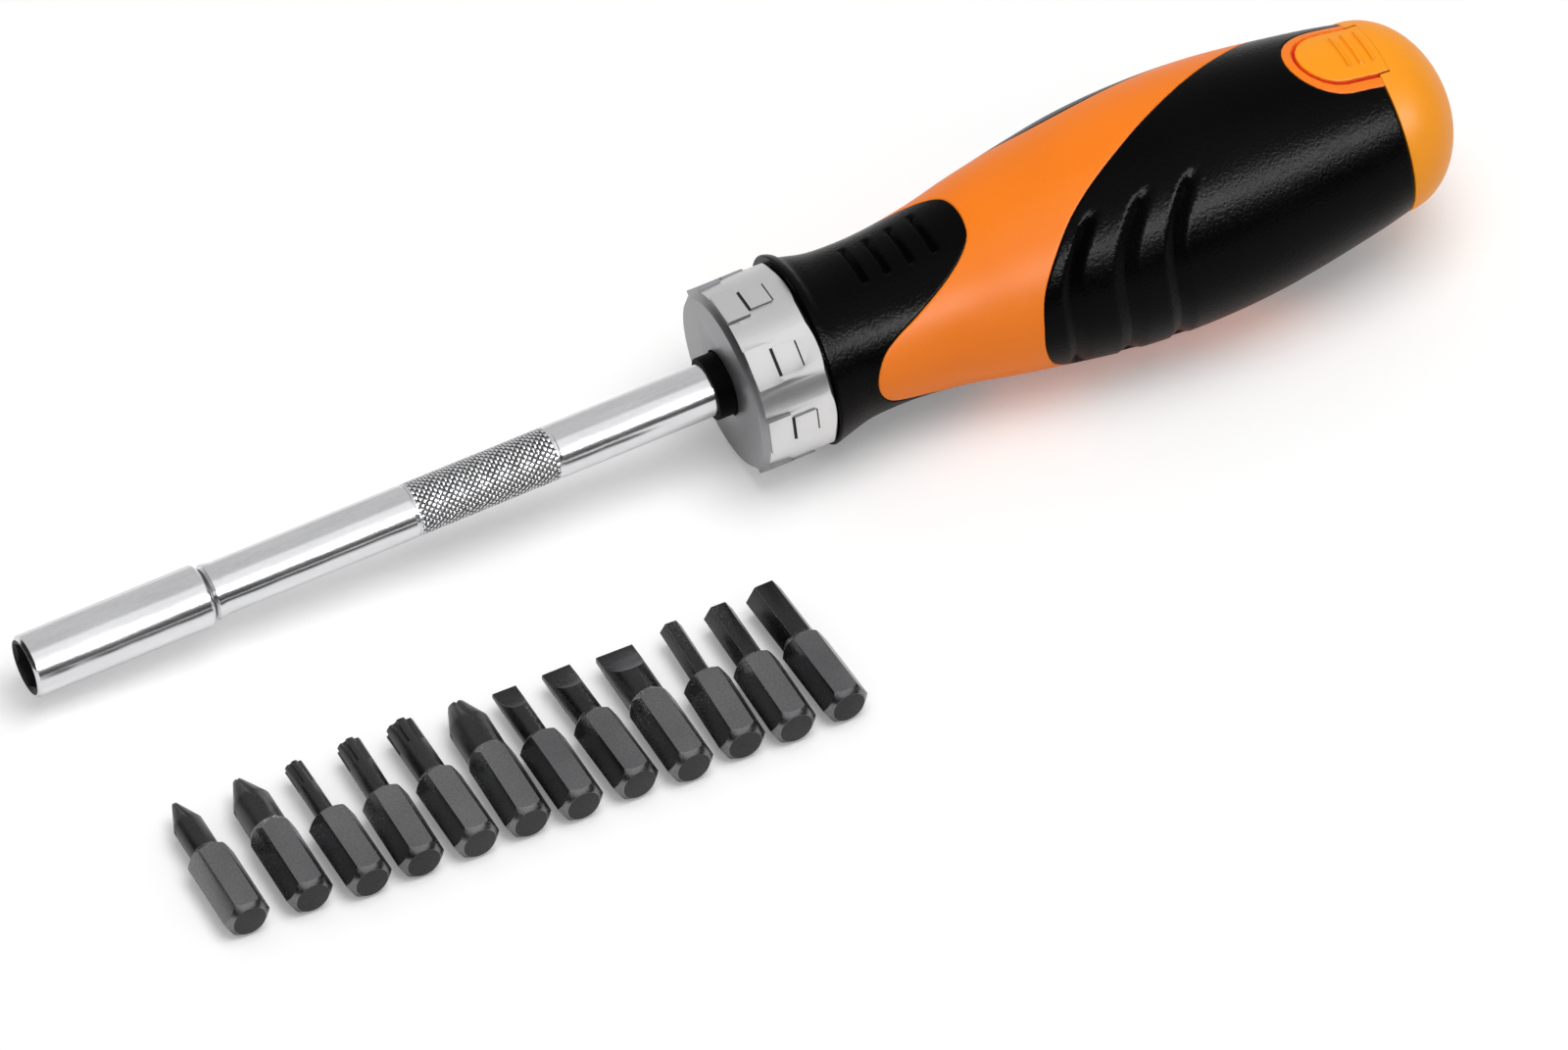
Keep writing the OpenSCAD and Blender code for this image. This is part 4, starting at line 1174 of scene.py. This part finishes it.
SKY_LIGHT = 0.52
SKY_BY_HEIGHT = ((0, 0.03), (1, 1.0), (0.36, 0.04), (0.44, 0.95), (0.85, 1.0))
BEHIND_GREY, BEHIND_FROM, BEHIND_TO = 0.64, -0.12, 0.06
BESIDE_GREY, BESIDE_FROM, BESIDE_TO = 0.02, -0.65, -0.35

world = bpy.data.worlds.new("studio")
bpy.context.scene.world = world
world.use_nodes = True
tree = world.node_tree
sky = tree.nodes["Background"]
sky.inputs["Color"].default_value = grey(1)
sky.inputs["Strength"].default_value = SKY_LIGHT
coords = add_node(tree, "TexCoord", {}).outputs["Generated"]
way = add_node(tree, "SeparateXYZ", {0: coords}).outputs
room = colour_ramp(tree, way["Z"], [(place, grey(level)) for place, level in SKY_BY_HEIGHT])
behind = map_range(tree, way["Y"], BEHIND_FROM, BEHIND_TO, kind="SMOOTHSTEP")
room = mixed(tree, behind, room, grey(BEHIND_GREY))
beside = map_range(tree, way["X"], BESIDE_FROM, BESIDE_TO, kind="SMOOTHSTEP")
room = mixed(tree, beside, grey(BESIDE_GREY), room)
rays = add_node(tree, "LightPath", {}).outputs
room = mixed(tree, rays["Is Glossy Ray"], grey(1), room)
backdrop = add_node(tree, "Background", {"Color": room})
seen = maths(tree, "MAXIMUM", rays["Is Camera Ray"], rays["Is Glossy Ray"])
seen = maths(tree, "MAXIMUM", seen, rays["Is Transmission Ray"])
pick = add_node(tree, "MixShader", {0: seen, 1: sky.outputs[0], 2: backdrop.outputs[0]})
feed(tree, tree.nodes["World Output"].inputs["Surface"], pick.outputs[0])

# Lamps

KEY_AT, KEY_AIM, KEY_SIZE, KEY_POWER = (0.08, -0.1, 0.78), (0.02, 0, 0.02), (0.55, 0.55), 3.7
STRIP_AT, STRIP_AIM, STRIP_SIZE, STRIP_POWER = (0.27, -0.45, 0.37), (0.2, 0, 0.03), (0.72, 0.12), 8.5


def lamp(name, at, aim, size, power):
    """A rectangular lamp at a place, turned to its aim."""
    light = bpy.data.lights.new(name, "AREA")
    light.shape = "RECTANGLE"
    light.size, light.size_y = size
    light.energy = power
    obj = bpy.data.objects.new(name, light)
    bpy.context.scene.collection.objects.link(obj)
    obj.location = at
    obj.rotation_euler = (Vector(aim) - Vector(at)).to_track_quat("-Z", "Y").to_euler()
    return obj


key = lamp("key", KEY_AT, KEY_AIM, KEY_SIZE, KEY_POWER)
key.visible_glossy = False
strip = lamp("strip", STRIP_AT, STRIP_AIM, STRIP_SIZE, STRIP_POWER)
strip.visible_diffuse = False
unlit = bpy.data.collections.new("not_lit_by_the_strip")
for node in BITS + ["selector_collar", "nose_bush"]:
    unlit.objects.link(bpy.data.objects[node + "_shape"])
unlit.objects.link(shade_lines_piece)
for entry in unlit.collection_objects:
    entry.light_linking.link_state = "EXCLUDE"
strip.light_linking.receiver_collection = unlit

# Camera: the holder's mouth lies at its pixel of the photograph, at the photograph's scale

PHOTO_W, PHOTO_H = 1600, 1071
MOUTH_PIXEL_X, MOUTH_PIXEL_Y = 29.1, 680.3
PIXELS_PER_MM = 7.08
ELEVATION, AZIMUTH, DISTANCE = 47.3, -26.14, 6.0
AIM_PAST = 0.03
SENSOR = 36

tilt, turn = math.radians(ELEVATION), math.radians(AZIMUTH)
forward = Vector((-math.sin(turn) * math.cos(tilt), math.cos(turn) * math.cos(tilt), -math.sin(tilt)))
right = Vector((math.cos(turn), math.sin(turn), 0))
up = right.cross(forward)
across = (PHOTO_W / 2 - MOUTH_PIXEL_X) / PIXELS_PER_MM * MM
upward = (MOUTH_PIXEL_Y - PHOTO_H / 2) / PIXELS_PER_MM * MM
aim = TOOL.translation * MM + right * across + up * upward + forward * AIM_PAST
cam_data = bpy.data.cameras.new("camera")
cam = bpy.data.objects.new("camera", cam_data)
bpy.context.scene.collection.objects.link(cam)
cam.location = aim - forward * DISTANCE
cam.rotation_euler = forward.to_track_quat("-Z", "Y").to_euler()
cam_data.sensor_width = SENSOR
cam_data.lens = SENSOR * DISTANCE / (PHOTO_W / PIXELS_PER_MM * MM)
cam_data.clip_start = 0.05
cam_data.clip_end = 20
bpy.context.scene.camera = cam
bpy.context.scene.view_settings.view_transform = "Standard"
